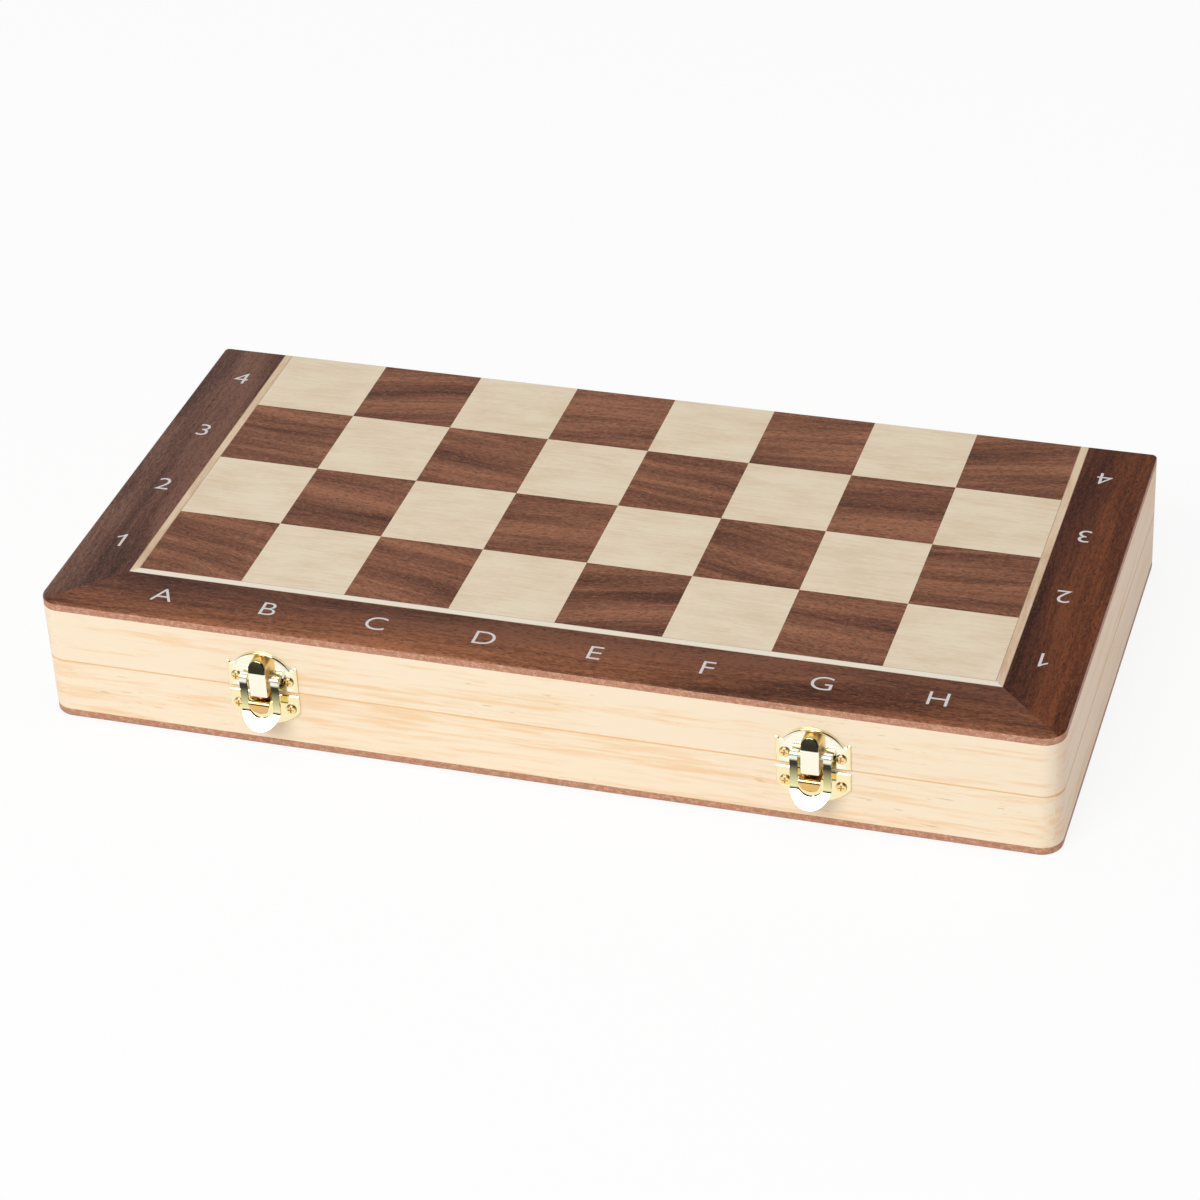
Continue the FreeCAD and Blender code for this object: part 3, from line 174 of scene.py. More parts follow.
def tint(name, description, default):
    return FloatVectorProperty(name=name, description=description, default=default, size=3,
                               min=0.0, max=1.0, subtype="COLOR")


def length(name, description, default):
    return FloatProperty(name=name, description=description, default=default, unit="LENGTH",
                         precision=5)


def share(name, description, default):
    return FloatProperty(name=name, description=description, default=default, min=0.0, max=1.0,
                         subtype="FACTOR")


class BoardSettings(bpy.types.PropertyGroup):
    """Veneers and panel of the two board halves."""
    walnut_dark: tint("Walnut streaks", "Darkest streaks of the walnut veneer",
                      (0.074, 0.024, 0.012))
    walnut: tint("Walnut", "Usual colour of the walnut veneer", (0.205, 0.078, 0.041))
    walnut_light: tint("Walnut lights", "Palest, reddest streaks of the walnut veneer",
                       (0.37, 0.155, 0.082))
    # Painted glints: pale specks on the fibres that stand in for the lacquer's sparkle
    painted_glint: tint("Walnut glints", "Pale fibres that catch the light", (0.40, 0.25, 0.18))
    # Shares that a border's colour is multiplied by, turning from the inner one by the squares to
    # the outer one at its edge
    front_inner: tint("Front stain, inner", "Share that the front border keeps by the squares",
                      (0.56, 0.505, 0.507))
    front_outer: tint("Front stain, outer", "Share that the front border keeps at its edge",
                      (1.0, 0.885, 0.72))
    left_inner: tint("Left stain, inner", "Share that the left border keeps by the squares",
                     (0.57, 0.61, 0.74))
    left_outer: tint("Left stain, outer", "Share that the left border keeps at its edge",
                     (0.605, 0.70, 0.90))
    right_inner: tint("Right stain, inner", "Share that the right border keeps by the squares",
                      (0.46, 0.32, 0.236))
    right_outer: tint("Right stain, outer", "Share that the right border keeps at its edge",
                      (0.60, 0.40, 0.24))
    turn_start: length("Stain start", "Distance from the squares where the tone turns", 0.008)
    turn_end: length("Stain end", "Distance from the squares where it has turned", 0.026)
    maple: tint("Maple", "Colour of the maple squares", (0.86, 0.735, 0.56))
    maple_streak: tint("Maple streaks", "Faint darker streaks of the maple", (0.70, 0.535, 0.345))
    line_front: tint("Front stringing", "Pale line before the squares", (0.90, 0.82, 0.68))
    line_side: tint("Side stringing", "Browner lines beside the squares", (0.80, 0.62, 0.44))
    line_streak: tint("Side stringing streaks", "Their grain", (0.60, 0.40, 0.25))
    glue: tint("Glue line", "Dark joint on either side of the stringing", (0.20, 0.095, 0.05))
    glue_width: length("Glue width", "Width of that joint", 0.0004)
    core: tint("Panel edge", "Colour of the panel where its edge shows", (0.44, 0.192, 0.110))
    core_fleck: tint("Panel flecks", "Paler flecks in the panel's edge", (0.70, 0.40, 0.26))
    sheen: share("Veneer roughness", "Roughness of the satin lacquer on the veneers", 0.42)


class WallSettings(bpy.types.PropertyGroup):
    """Pine of the eight walls."""
    pine: tint("Pine", "Usual colour of the pine", (0.925, 0.775, 0.58))
    pine_side: tint("Side pine", "Pinker pine of the side walls", (0.95, 0.74, 0.56))
    pine_streak: tint("Pine streaks", "Orange growth streaks of the pine", (0.88, 0.58, 0.31))
    pine_tick: tint("Pine ticks", "Short brown resin ticks in the pine", (0.62, 0.33, 0.13))
    # The joint colour is painted shade: an orange line in the groove of the seam
    joint: tint("Joint", "Orange light in the groove of the seam", (0.84, 0.52, 0.24))
    seam_shade_width: length("Joint width", "Reach of that light on the front and back", 0.0005)
    side_seam_shade_width: length("Side joint width", "Its reach on the side walls", 0.0010)
    sheen: share("Pine roughness", "Roughness of the lacquered pine", 0.5)


class FittingSettings(bpy.types.PropertyGroup):
    """Metal of the clasps, hinges and screws."""
    gold: tint("Clasp gold", "Plating of the clasps", (0.98, 0.86, 0.53))
    # Pale gold is a painted highlight: paler plating where it faces the light
    pale: tint("Pale gold", "Plating where it faces the light", (1.0, 0.965, 0.80))
    gold_roughness: share("Clasp roughness", "Roughness of the bright plating", 0.10)
    # Amber on a hood's flanks is a painted reflection, deeper than on its pale face
    amber_reflection: tint("Amber gold", "Warmer plating of a hood's flanks", (0.90, 0.62, 0.24))
    screw: tint("Screw gold", "Plating of the clasps' screws", (0.97, 0.76, 0.36))
    # The lip colour is painted shade: deeper orange where the lip lies under the hood
    lip: tint("Hook lip", "Orange plating on the lips of the hooks", (0.82, 0.50, 0.19))
    # The recess colour is painted shade in the screws' crosses
    recess_shade: tint("Screw recess", "Shaded plating in the screws' crosses", (0.34, 0.17, 0.05))
    # Painted reflection and shade on the ring arms: olive and paler bands, darkest under the eyes
    dim_reflection: tint("Ring arms", "Dulled plating on the arms of the rings", (0.50, 0.46, 0.24))
    arm_foot_reflection: tint("Ring arm feet", "Paler plating low on the arms", (0.92, 0.86, 0.46))
    arm_shade: tint("Ring arm tops", "Darkest plating, under the eyes", (0.05, 0.045, 0.03))
    # The brow colour is a painted reflection: a dark band on a hood's sloping brow
    brow: tint("Brow", "Shaded plating on the sloping brow of a hood", (0.27, 0.235, 0.15))
    brass: tint("Hinge brass", "Colour of the hinges", (0.78, 0.56, 0.24))
    brass_roughness: share("Hinge roughness", "Roughness of the brushed hinges", 0.3)


class MenSettings(bpy.types.PropertyGroup):
    """Woods of the chessmen and checkers."""
    light: tint("Light men", "Pale wood of the light men", (0.74, 0.54, 0.30))
    light_streak: tint("Light men streaks", "Grain of the light men", (0.60, 0.39, 0.18))
    dark: tint("Dark men", "Stained wood of the dark men", (0.150, 0.057, 0.027))
    dark_streak: tint("Dark men streaks", "Grain of the dark men", (0.042, 0.015, 0.008))
    sheen: share("Lacquer roughness", "Roughness of the men's lacquer", 0.28)


class FeltSettings(bpy.types.PropertyGroup):
    """Felt linings."""
    felt: tint("Felt", "Colour of the lining", (0.018, 0.085, 0.040))
    felt_nap: tint("Felt nap", "Paler fibres on the lining", (0.045, 0.165, 0.085))
    nap: length("Nap", "Unevenness of the felt's face", 0.00016)
    cell: length("Mesh step", "Spacing of the felt's mesh", 0.0032)


class LetteringSettings(bpy.types.PropertyGroup):
    """Coordinates printed on the border."""
    ink: tint("Ink", "Silver-grey ink of the coordinates", (0.69, 0.675, 0.665))
    height: length("Height", "Height of a capital", 0.0085)
    breadth: FloatProperty(name="Breadth", description="Stretch of a character's width",
                           default=1.12)
    thinning: length("Thinning", "How far each stroke's outline is drawn in", 0.00009)
    film: length("Film", "Thickness of the ink", 0.00002)
    file_pitch: length("Letter pitch", "Spacing of the letters", 0.0416)
    file_shift: length("Letter shift", "Offset of the letters towards the A file", 0.0007)
    file_line: length("Letter line", "Distance of the letters from the middle of a half", 0.0813)
    rank_pitch: length("Number pitch", "Spacing of the numbers", 0.04115)
    rank_middle: length("Number middle", "Middle of the four numbers", 0.0119)
    rank_line: length("Number line", "Distance of the numbers from the middle of a half", 0.1755)
    rank_shift: length("Number shift", "Offset of the numbers towards the A file", 0.0005)
    one_shift: length("One shift", "How far a figure one stands before its place", 0.00105)


class StageSettings(bpy.types.PropertyGroup):
    """Camera, floor and studio light."""
    camera_place: FloatVectorProperty(name="Camera", description="Where the camera stands",
                                      default=(0.36690, -1.11227, 0.79832),
                                      subtype="TRANSLATION", unit="LENGTH")
    camera_turn: FloatVectorProperty(name="Camera turn", description="How the camera is turned",
                                     default=(0.982367, 0.044362, 0.292459), subtype="EULER")
    lens: FloatProperty(name="Lens", description="Focal length in millimetres on a 36 mm sensor",
                        default=110.957)
    floor: tint("Floor", "Colour of the plain floor", (0.94, 0.94, 0.94))
    floor_glow: share("Floor white", "How far the floor is lifted to white for the camera", 0.88)
    floor_span: length("Floor span", "Side of the floor", 24.0)
    surround: share("Surround", "Strength of the soft light from all round", 0.50)
    room: share("Dim room", "Brightness that gloss shows of the room above and before", 0.03)
    key_power: FloatProperty(name="Key", description="Power of the key softbox", default=58.0,
                             unit="POWER")
    key_place: FloatVectorProperty(name="Key place", description="Where the key softbox hangs",
                                   default=(-0.70, -2.20, 2.10), subtype="TRANSLATION",
                                   unit="LENGTH")
    key_size: FloatVectorProperty(name="Key size", description="Width and height of the key",
                                  default=(2.0, 1.5), size=2, unit="LENGTH")
    fill_power: FloatProperty(name="Fill", description="Power of the overhead softbox",
                              default=4.0, unit="POWER")
    fill_place: FloatVectorProperty(name="Fill place", description="Where that softbox hangs",
                                    default=(0.15, 0.25, 1.7), subtype="TRANSLATION",
                                    unit="LENGTH")
    fill_size: FloatVectorProperty(name="Fill size", description="Width and height of the fill",
                                   default=(1.5, 1.1), size=2, unit="LENGTH")


class Flow:
    """A value on its way through a material; the operators add Math nodes."""

    def __init__(self, finish, socket):
        self.finish = finish
        self.socket = socket

    def _math(self, operation, first, second):
        return self.finish.node("ShaderNodeMath", {"operation": operation},
                                {0: first, 1: second})

    def __add__(self, other):
        return self._math("ADD", self, other)

    def __radd__(self, other):
        return self._math("ADD", other, self)

    def __sub__(self, other):
        return self._math("SUBTRACT", self, other)

    def __rsub__(self, other):
        return self._math("SUBTRACT", other, self)

    def __mul__(self, other):
        return self._math("MULTIPLY", self, other)

    def __rmul__(self, other):
        return self._math("MULTIPLY", other, self)

    def __truediv__(self, other):
        return self._math("DIVIDE", self, other)

    def __rtruediv__(self, other):
        return self._math("DIVIDE", other, self)

    def __abs__(self):
        return self.finish.node("ShaderNodeMath", {"operation": "ABSOLUTE"}, {0: self})

    def __floor__(self):
        return self.finish.node("ShaderNodeMath", {"operation": "FLOOR"}, {0: self})


def rgba(colour):
    return (*colour, 1.0)


class Finish:
    """A tree of shader nodes, for a material or for the world."""

    def __init__(self, owner):
        self.owner = owner
        owner.use_nodes = True
        self.tree = owner.node_tree
        self.tree.nodes.clear()

    def node(self, kind, settings=None, sockets=None, output=0):
        """Add a node: its settings are set first, then its sockets get values or links."""
        made = self.tree.nodes.new(kind)
        for key, setting in (settings or {}).items():
            if key == "stops":
                self._set_stops(made.color_ramp, setting)
            else:
                setattr(made, key, setting)
        for key, value in (sockets or {}).items():
            if isinstance(value, Flow):
                self.tree.links.new(value.socket, made.inputs[key])
            else:
                made.inputs[key].default_value = value
        return Flow(self, made.outputs[output]) if made.outputs else None

    def _set_stops(self, ramp, stops):
        while len(ramp.elements) < len(stops):
            ramp.elements.new(1.0)
        for element, (position, colour) in zip(ramp.elements, stops):
            element.position = position
            element.color = rgba(colour)

    def place(self):
        """The three coordinates of a point in the part's own frame, in metres."""
        whole = self.node("ShaderNodeTexCoord", output="Object")
        return [self.node("ShaderNodeSeparateXYZ", sockets={0: whole}, output=axis)
                for axis in "XYZ"]

    def noise(self, x, y, z, detail=2.0, roughness=0.5):
        at = self.node("ShaderNodeCombineXYZ", sockets={0: x, 1: y, 2: z})
        return self.node("ShaderNodeTexNoise", sockets={
            "Vector": at, "Scale": 1.0, "Detail": detail, "Roughness": roughness})

    def grain(self, run, cross, waves, seed, detail=2.0, roughness=0.5):
        """Noise drawn out along the grain, with so many waves a metre along and across it."""
        return self.noise(run * waves[0], cross * waves[1], seed, detail, roughness)

    def solid(self, place, waves, shift=(0.0, 0.0, 0.0), detail=2.0, roughness=0.5):
        """Noise through a solid, with so many waves a metre on each axis, then shifted."""
        scaled = [part * count for part, count in zip(place, waves)]
        moved = [part + offset if offset else part for part, offset in zip(scaled, shift)]
        return self.noise(*moved, detail, roughness)

    def fade(self, value, low, high):
        """0 below low, 1 above high and smooth between."""
        return self.node("ShaderNodeMapRange", {"interpolation_type": "SMOOTHSTEP"},
                         {"Value": value, "From Min": low, "From Max": high})

    def uneven(self, value, middle, spread):
        """A value from 0 to 1 laid over a range that is centred on a middle."""
        return value * spread + (middle - spread / 2)

    def mix(self, factor, first, second):
        """Colour that goes from the first to the second as the factor goes from 0 to 1."""
        first, second = (item if isinstance(item, Flow) else rgba(item)
                         for item in (first, second))
        return self.node("ShaderNodeMix", {"data_type": "RGBA"},
                         {0: factor, 6: first, 7: second}, output=2)

    def times(self, first, second):
        """Product of two colours."""
        return self.node("ShaderNodeVectorMath", {"operation": "MULTIPLY"}, {0: first, 1: second})

    def larger(self, first, second):
        return self.node("ShaderNodeMath", {"operation": "MAXIMUM"}, {0: first, 1: second})

    def ramp(self, value, stops):
        return self.node("ShaderNodeValToRGB", {"stops": stops}, {"Fac": value})

    def bump(self, height, depth):
        return self.node("ShaderNodeBump", sockets={
            "Height": height, "Strength": 1.0, "Distance": depth})

    def surface(self, **sockets):
        """End the tree in the standard shader; keywords name its sockets."""
        named = {key.replace("_", " "): value for key, value in sockets.items()}
        shader = self.node("ShaderNodeBsdfPrincipled", sockets=named)
        self.node("ShaderNodeOutputMaterial", sockets={"Surface": shader})
        return self.owner


def new_finish(name):
    return Finish(bpy.data.materials.new(name))


def placed(name, data):
    """A new object in the scene."""
    made = bpy.data.objects.new(name, data)
    bpy.context.scene.collection.objects.link(made)
    return made


def wear(node, material):
    """Give a CAD piece its finish."""
    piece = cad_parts[node]
    if not piece.material_slots:
        piece.data.materials.append(material)
    for material_slot in piece.material_slots:
        material_slot.material = material


def settings_of(context):
    return context.scene.chess_set


# Woods

def square_chance(finish, x, y, output):
    """A random value or colour that is the same all over a square."""
    column, rank = (math.floor((place - first) / SQUARE)
                    for place, first in ((x, SQUARES_LOW.x), (y, SQUARES_LOW.y)))
    cell = finish.node("ShaderNodeCombineXYZ", sockets={0: column, 1: rank})
    return finish.node("ShaderNodeTexWhiteNoise", {"noise_dimensions": "2D"}, {"Vector": cell},
                       output=output)


def walnut(name, settings, along, seed=0.0, border_shares=None):
    """Walnut veneer with soft bands, streaks and open pores, its grain along X or Y.

    A border's colour is multiplied by a share that turns from an inner value to an outer one; the
    squares have none, and each its own figure.
    """
    finish = new_finish(name)
    x, y, _ = finish.place()
    shift = drift = seed
    slant = 0.5
    if not border_shares:
        chance = square_chance(finish, x, y, "Color")
        shift, drift, slant = (finish.node("ShaderNodeSeparateColor", sockets={0: chance},
                                           output=part) for part in ("Red", "Green", "Blue"))
    run, cross = (x, y) if along == "X" else (y, x)
    cross = cross + run * ((slant - 0.5) * SQUARE_SLANT) + WALNUT_MOVES[1] * drift
    run = run + WALNUT_MOVES[0] * shift
    sway = finish.grain(run, cross, WALNUT_WAVES["sway"], seed)
    bent = cross + (sway - 0.5) * SWAY["walnut"]
    band_waves, band_share, spread = BORDER_BANDS if border_shares else SQUARE_BANDS
    band = finish.grain(run, bent, band_waves, seed)
    streak = finish.grain(run, bent, WALNUT_WAVES["streak"], seed + 2.0, roughness=0.6)
    speck = finish.grain(run, bent, WALNUT_WAVES["speck"], seed + 4.0, roughness=0.6)
    grain = finish.grain(run, bent, WALNUT_WAVES["grain"], seed + 5.0, roughness=0.6)
    pore = finish.grain(run, bent, WALNUT_WAVES["pore"], seed + 7.0, detail=1.0)
    pore = finish.fade(pore, 0.54, 0.68)
    fibre = finish.grain(run, bent, WALNUT_WAVES["fibre"], seed + 9.0, detail=1.0)
    fibre = finish.fade(fibre, 0.58, 0.70)
    tone = band * band_share + streak * 0.2 + speck * 0.2 + grain * (0.6 - band_share)
    colour = finish.ramp(tone, ((TONE_MIDDLE - spread, settings.walnut_dark),
                                (TONE_MIDDLE, settings.walnut),
                                (TONE_MIDDLE + spread, settings.walnut_light)))
    # Painted glints on the fibres, standing in for the lacquer's sparkle
    colour = finish.mix(fibre * 0.30, colour, settings.painted_glint)
    colour = finish.mix(pore * 0.6, colour, settings.walnut_dark)
    # Multiply a border's colour by a share that turns from the inner value to the outer one
    if border_shares:
        outward = finish.larger(abs(x) - SQUARES_HIGH.x, SQUARES_LOW.y - y)
        turned = finish.fade(outward, settings.turn_start, settings.turn_end)
        colour = finish.times(colour, finish.mix(turned, *border_shares))
    relief = finish.bump(speck * 0.35 - pore, RELIEF["walnut"])
    rough = finish.uneven(speck, settings.sheen, UNEVENNESS["walnut"])
    return finish.surface(Base_Color=colour, Roughness=rough, Specular_IOR_Level=0.18,
                          Normal=relief)


def maple(name, settings, along, by_square=False, seed=0.0):
    """Pale maple veneer with faint streaks and flecks, its grain along X or Y."""
    finish = new_finish(name)
    x, y, _ = finish.place()
    chance = square_chance(finish, x, y, "Value") if by_square else seed
    run, cross = (x, y) if along == "X" else (y, x)
    run = run + MAPLE_MOVES[0] * chance
    cross = cross + MAPLE_MOVES[1] * chance
    sway = finish.grain(run, cross, MAPLE_WAVES["sway"], seed)
    bent = cross + (sway - 0.5) * SWAY["maple"]
    cloud = finish.grain(run, bent, MAPLE_WAVES["cloud"], seed, detail=3.0)
    streak = finish.grain(run, bent, MAPLE_WAVES["streak"], seed + 3.0, detail=3.0, roughness=0.6)
    fibre = finish.grain(run, bent, MAPLE_WAVES["fibre"], seed + 5.0, roughness=0.6)
    tone = finish.fade(cloud * 0.42 + streak * 0.33 + fibre * 0.25, 0.38, 0.68)
    if by_square:
        colour = finish.mix(tone * 0.7, settings.maple, settings.maple_streak)
    else:
        colour = inlaid(finish, settings, tone, x, y)
    relief = finish.bump(fibre, RELIEF["maple"])
    rough = finish.uneven(fibre, settings.sheen, UNEVENNESS["maple"])
    return finish.surface(Base_Color=colour, Roughness=rough, Specular_IOR_Level=0.25,
                          Normal=relief)


def inlaid(finish, settings, tone, x, y):
    """Colour of the stringing: browner down the sides, with a glue joint along both edges."""
    sideways, forward = abs(x) - SQUARES_HIGH.x, SQUARES_LOW.y - y
    front = finish.mix(tone * 0.5, settings.line_front, settings.maple)
    flank = finish.mix(tone, settings.line_side, settings.line_streak)
    colour = finish.mix(finish.fade(sideways - forward, -MITRE, MITRE), front, flank)
    half = STRINGING / 2
    edge = finish.fade(abs(finish.larger(sideways, forward) - half), half - settings.glue_width,
                       half)
    return finish.mix(edge * 0.7, colour, settings.glue)


def pine(name, settings, plain, along, seed, seam_shade_width):
    """Lacquered pine with orange growth streaks, short resin ticks and a painted shade line along
    the seam.
    """
    finish = new_finish(name)
    x, y, z = finish.place()
    run, depth = (x, y) if along == "X" else (y, x)
    along_by, through_by = (seed, 0.0, 0.0), (0.0, 0.0, seed)
    sway = finish.solid((run, z, depth), PINE_WAVES["sway"], through_by)
    inside = (run, z + (sway - 0.5) * SWAY["pine"], depth)
    ring = finish.solid(inside, PINE_WAVES["ring"], along_by, roughness=0.6)
    line = finish.solid(inside, PINE_WAVES["line"], along_by, detail=3.0, roughness=0.65)
    fibre = finish.solid(inside, PINE_WAVES["fibre"], through_by, roughness=0.6)
    tick = finish.solid(inside, PINE_WAVES["tick"], along_by, detail=1.0)
    patch = finish.solid(inside, PINE_WAVES["patch"], through_by, detail=1.0)
    streak = finish.fade(ring * 0.5 + line * 0.5, 0.46, 0.66)
    colour = finish.mix(streak * 0.75 + (line - 0.5) * 0.3, plain, settings.pine_streak)
    ticks = finish.fade(tick, 0.68, 0.78) * finish.fade(patch, 0.50, 0.62)
    colour = finish.mix(ticks * 0.5, colour, settings.pine_tick)
    facing = finish.node("ShaderNodeSeparateXYZ", sockets={
        0: finish.node("ShaderNodeTexCoord", output="Normal")}, output="Z")
    # Painted shade in the seam's groove, on the walls' sides but not on their rims
    joint = finish.fade(abs(z - SEAM), seam_shade_width, 0.2 * seam_shade_width)
    colour = finish.mix(joint * finish.fade(abs(facing), *RIM_FACING), colour, settings.joint)
    relief = finish.bump(fibre * 0.5 + streak * 0.5, RELIEF["pine"])
    rough = finish.uneven(fibre, settings.sheen, UNEVENNESS["pine"])
    return finish.surface(Base_Color=colour, Roughness=rough, Specular_IOR_Level=0.35,
                          Normal=relief)


def panel_edge(name, settings):
    """Fine-grained fibre panel, seen only at its edge and inside."""
    finish = new_finish(name)
    place = finish.place()
    coarse = finish.solid(place, PANEL_WAVES["coarse"])
    fine = finish.solid(place, PANEL_WAVES["fine"], roughness=0.6)
    fleck = finish.fade(coarse * 0.4 + fine * 0.6, 0.44, 0.66)
    colour = finish.mix(fleck, settings.core, settings.core_fleck)
    relief = finish.bump(fine, RELIEF["panel"])
    rough = finish.uneven(fine, PANEL_ROUGHNESS, UNEVENNESS["panel"])
    return finish.surface(Base_Color=colour, Roughness=rough, Normal=relief)


def turned_wood(name, settings, plain, streaked, seed):
    """Lacquered wood of the men; they lie along Y, and so does the grain."""
    finish = new_finish(name)
    place = finish.place()
    sway = finish.solid(place, TURNED_WAVES["sway"], (0.0, 0.0, seed))
    ring = finish.solid(place, TURNED_WAVES["ring"], (sway * 2.0, 0.0, seed), detail=3.0,
                        roughness=0.55)
    fibre = finish.solid(place, TURNED_WAVES["fibre"], (0.0, 0.0, seed), roughness=0.6)
    tone = finish.fade(ring * 0.6 + fibre * 0.4, 0.42, 0.62)
    colour = finish.mix(tone * 0.9, plain, streaked)
    relief = finish.bump(fibre, RELIEF["turned"])
    rough = finish.uneven(fibre, settings.sheen, UNEVENNESS["turned"])
    return finish.surface(Base_Color=colour, Roughness=rough, Specular_IOR_Level=0.35,
                          Coat_Weight=0.12, Coat_Roughness=0.16, Normal=relief)


# Metal and felt

def plated(name, colour, roughness, brushed, tinting=None):
    """Bright metal with the faint orange peel of plated sheet, and painted reflections and shade by
    place if asked.
    """
    finish = new_finish(name)
    place = finish.place()
    peel = finish.solid(place, PLATING_WAVES["peel"])
    hair = finish.solid(place, PLATING_WAVES["hair"], roughness=0.6)
    relief = finish.bump(peel * 0.7 + hair * 0.3 * brushed, RELIEF["plating"])
    shown, dulling = rgba(colour), 0.0
    if tinting:
        shown, dulling = tinting(finish, colour, FRONT - place[1], place[2] - SEAM)
    rough = (peel - 0.5) * PEEL_ROUGHNESS + (hair - 0.5) * brushed + roughness + dulling
    return finish.surface(Base_Color=shown, Metallic=1.0, Roughness=rough, Normal=relief)


def ring_painted_reflection(fitting):
    """Painted reflection on a ring's arms, with painted shade darkest under its eyes and at the
    bend of its tab.
    """
    def tinting(finish, colour, depth, height):
        rise = (height - ARM_LOW) / (ARM_HIGH - ARM_LOW)
        shown = finish.ramp(rise, ((0.0, colour), (0.05, fitting.arm_shade),
                                   (0.11, fitting.arm_foot_reflection), (0.45, fitting.dim_reflection),
                                   (0.80, fitting.arm_shade), (0.93, fitting.arm_shade),
                                   (1.0, colour)))
        return shown, finish.fade(rise, 0.9, 1.0) * DULLING["ring"]
    return tinting


def hood_painted_reflection(fitting):
    """Painted reflections on a hood: warmer plating on its flanks than on its face, and a dark
    brow.
    """
    def tinting(finish, colour, depth, height):
        brow = finish.larger(height - HOOD_BEND, 0.0)
        flank = finish.fade(depth + brow * HOOD_SLOPE, *FLANK_DEPTHS)
        # Painted reflection: the brow darkens above the bend
        arch = finish.ramp((height - HOOD_BEND) / BROW_HEIGHT, (
            (0.0, colour), (0.03, fitting.brow), (0.45, fitting.brow), (0.95, fitting.dim_reflection)))
        return finish.mix(flank, arch, fitting.amber_reflection), flank * DULLING["hood"]
    return tinting


def lid_painted_highlight(fitting):
    """Painted highlight: paler gold in the middle of a lid plate than towards its ends and its top.
    """
    middle, reach = (PLATE_HIGH.x + PLATE_LOW.x) / 2, (PLATE_HIGH.x - PLATE_LOW.x) / 2
    top = PLATE_HIGH.z - SEAM

    def tinting(finish, colour, depth, height):
        across = abs(abs(finish.place()[0]) - middle)
        rim = finish.larger(finish.fade(across, PLATE_END_SHARE * reach, reach),
                            finish.fade(height, PLATE_TOP_SHARE * top, top))
        return finish.mix(rim, colour, fitting.gold), rim * DULLING["lid"]
    return tinting


def hook_painted_shade(fitting):
    """Painted shade: warmer plating on a hook's lip, under the hood, than on its plate."""
    def tinting(finish, colour, depth, height):
        lip = finish.fade(depth, *LIP_DEPTHS)
        return finish.mix(lip, colour, fitting.lip), lip * DULLING["hook"]
    return tinting


def screw_painted_shade(fitting):
    """Painted shade: darker plating in the cross and low on the rim of a screw's head."""
    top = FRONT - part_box("lid_latch_screws")[0].y

    def tinting(finish, colour, depth, height):
        sunk_shade = finish.fade(top - depth, *RECESS_DEPTHS)
        return finish.mix(sunk_shade * 0.8, colour, fitting.recess_shade), sunk_shade * DULLING["screw"]
    return tinting


def felted(name, settings):
    """Short dense nap, with paler fibres lying every way."""
    finish = new_finish(name)
    place = finish.place()
    cloud = finish.solid(place, FELT_WAVES["cloud"], detail=3.0)
    fuzz = finish.solid(place, FELT_WAVES["fuzz"], detail=3.0, roughness=0.7)
    fibre = finish.solid(place, FELT_WAVES["fibre"], (cloud * 6.0, 0.0, 0.0), roughness=0.6)
    tone = finish.fade(fuzz * 0.5 + fibre * 0.3 + cloud * 0.2, 0.38, 0.66)
    colour = finish.mix(tone, settings.felt, settings.felt_nap)
    relief = finish.bump(fuzz * 0.7 + fibre * 0.3, RELIEF["felt"])
    return finish.surface(Base_Color=colour, Roughness=0.95, Sheen_Weight=0.35,
                          Sheen_Roughness=0.5, Specular_IOR_Level=0.1, Normal=relief)


def printed(name, settings):
    """Silver-grey printed ink, a little uneven where the grain takes it."""
    finish = new_finish(name)
    grain = finish.solid(finish.place(), INK_WAVES)
    colour = finish.mix(finish.fade(grain, 0.52, 0.75) * 0.25, settings.ink,
                        [INK_WORN_SHARE * part for part in settings.ink])
    rough = finish.uneven(grain, INK_ROUGHNESS, UNEVENNESS["ink"])
    return finish.surface(Base_Color=colour, Roughness=rough)


# Operators, one for each piece or group of like pieces

class CHESS_OT_veneers(bpy.types.Operator):
    """Dress the borders, stringing, squares and panels of both halves"""
    bl_idname = "chess_set.veneers"
    bl_label = "Veneers"

    def execute(self, context):
        board = settings_of(context).board
        core = panel_edge("panel_edge", board)
        dark = walnut("walnut_squares", board, "X")
        light = maple("maple_squares", board, "X", by_square=True)
        line = maple("stringing_maple", board, "Y", seed=STRINGING_SEED)
        first, by_side, by_half = BORDER_SEEDS
        for number, half in enumerate(HALVES):
            wear(f"{half}_core_panel", core)
            wear(f"{half}_dark_squares", dark)
            wear(f"{half}_light_squares", light)
            wear(f"{half}_stringing", line)
            for turn, (side, along, border_shares) in enumerate((
                    ("front", "X", (board.front_inner, board.front_outer)),
                    ("left", "Y", (board.left_inner, board.left_outer)),
                    ("right", "Y", (board.right_inner, board.right_outer)))):
                seed = first + by_side * turn + by_half * number
                wear(f"{half}_{side}_border",
                     walnut(f"{half}_{side}_walnut", board, along, seed, border_shares))
        return {"FINISHED"}


class CHESS_OT_walls(bpy.types.Operator):
    """Dress the eight pine walls, each cut from its own length of wood"""
    bl_idname = "chess_set.walls"
    bl_label = "Walls"

    def execute(self, context):
        wall = settings_of(context).wall
        first, by_side, by_half = WALL_SEEDS
        for number, half in enumerate(HALVES):
            for turn, (side, along) in enumerate((("front", "X"), ("back", "X"), ("left", "Y"),
                                                  ("right", "Y"))):
                plain, reach = ((wall.pine, wall.seam_shade_width) if along == "X"
                                else (wall.pine_side, wall.side_seam_shade_width))
                seed = first + by_side * turn + by_half * number
                wear(f"{half}_{side}_wall",
                     pine(f"{half}_{side}_pine", wall, plain, along, seed, reach))
        return {"FINISHED"}


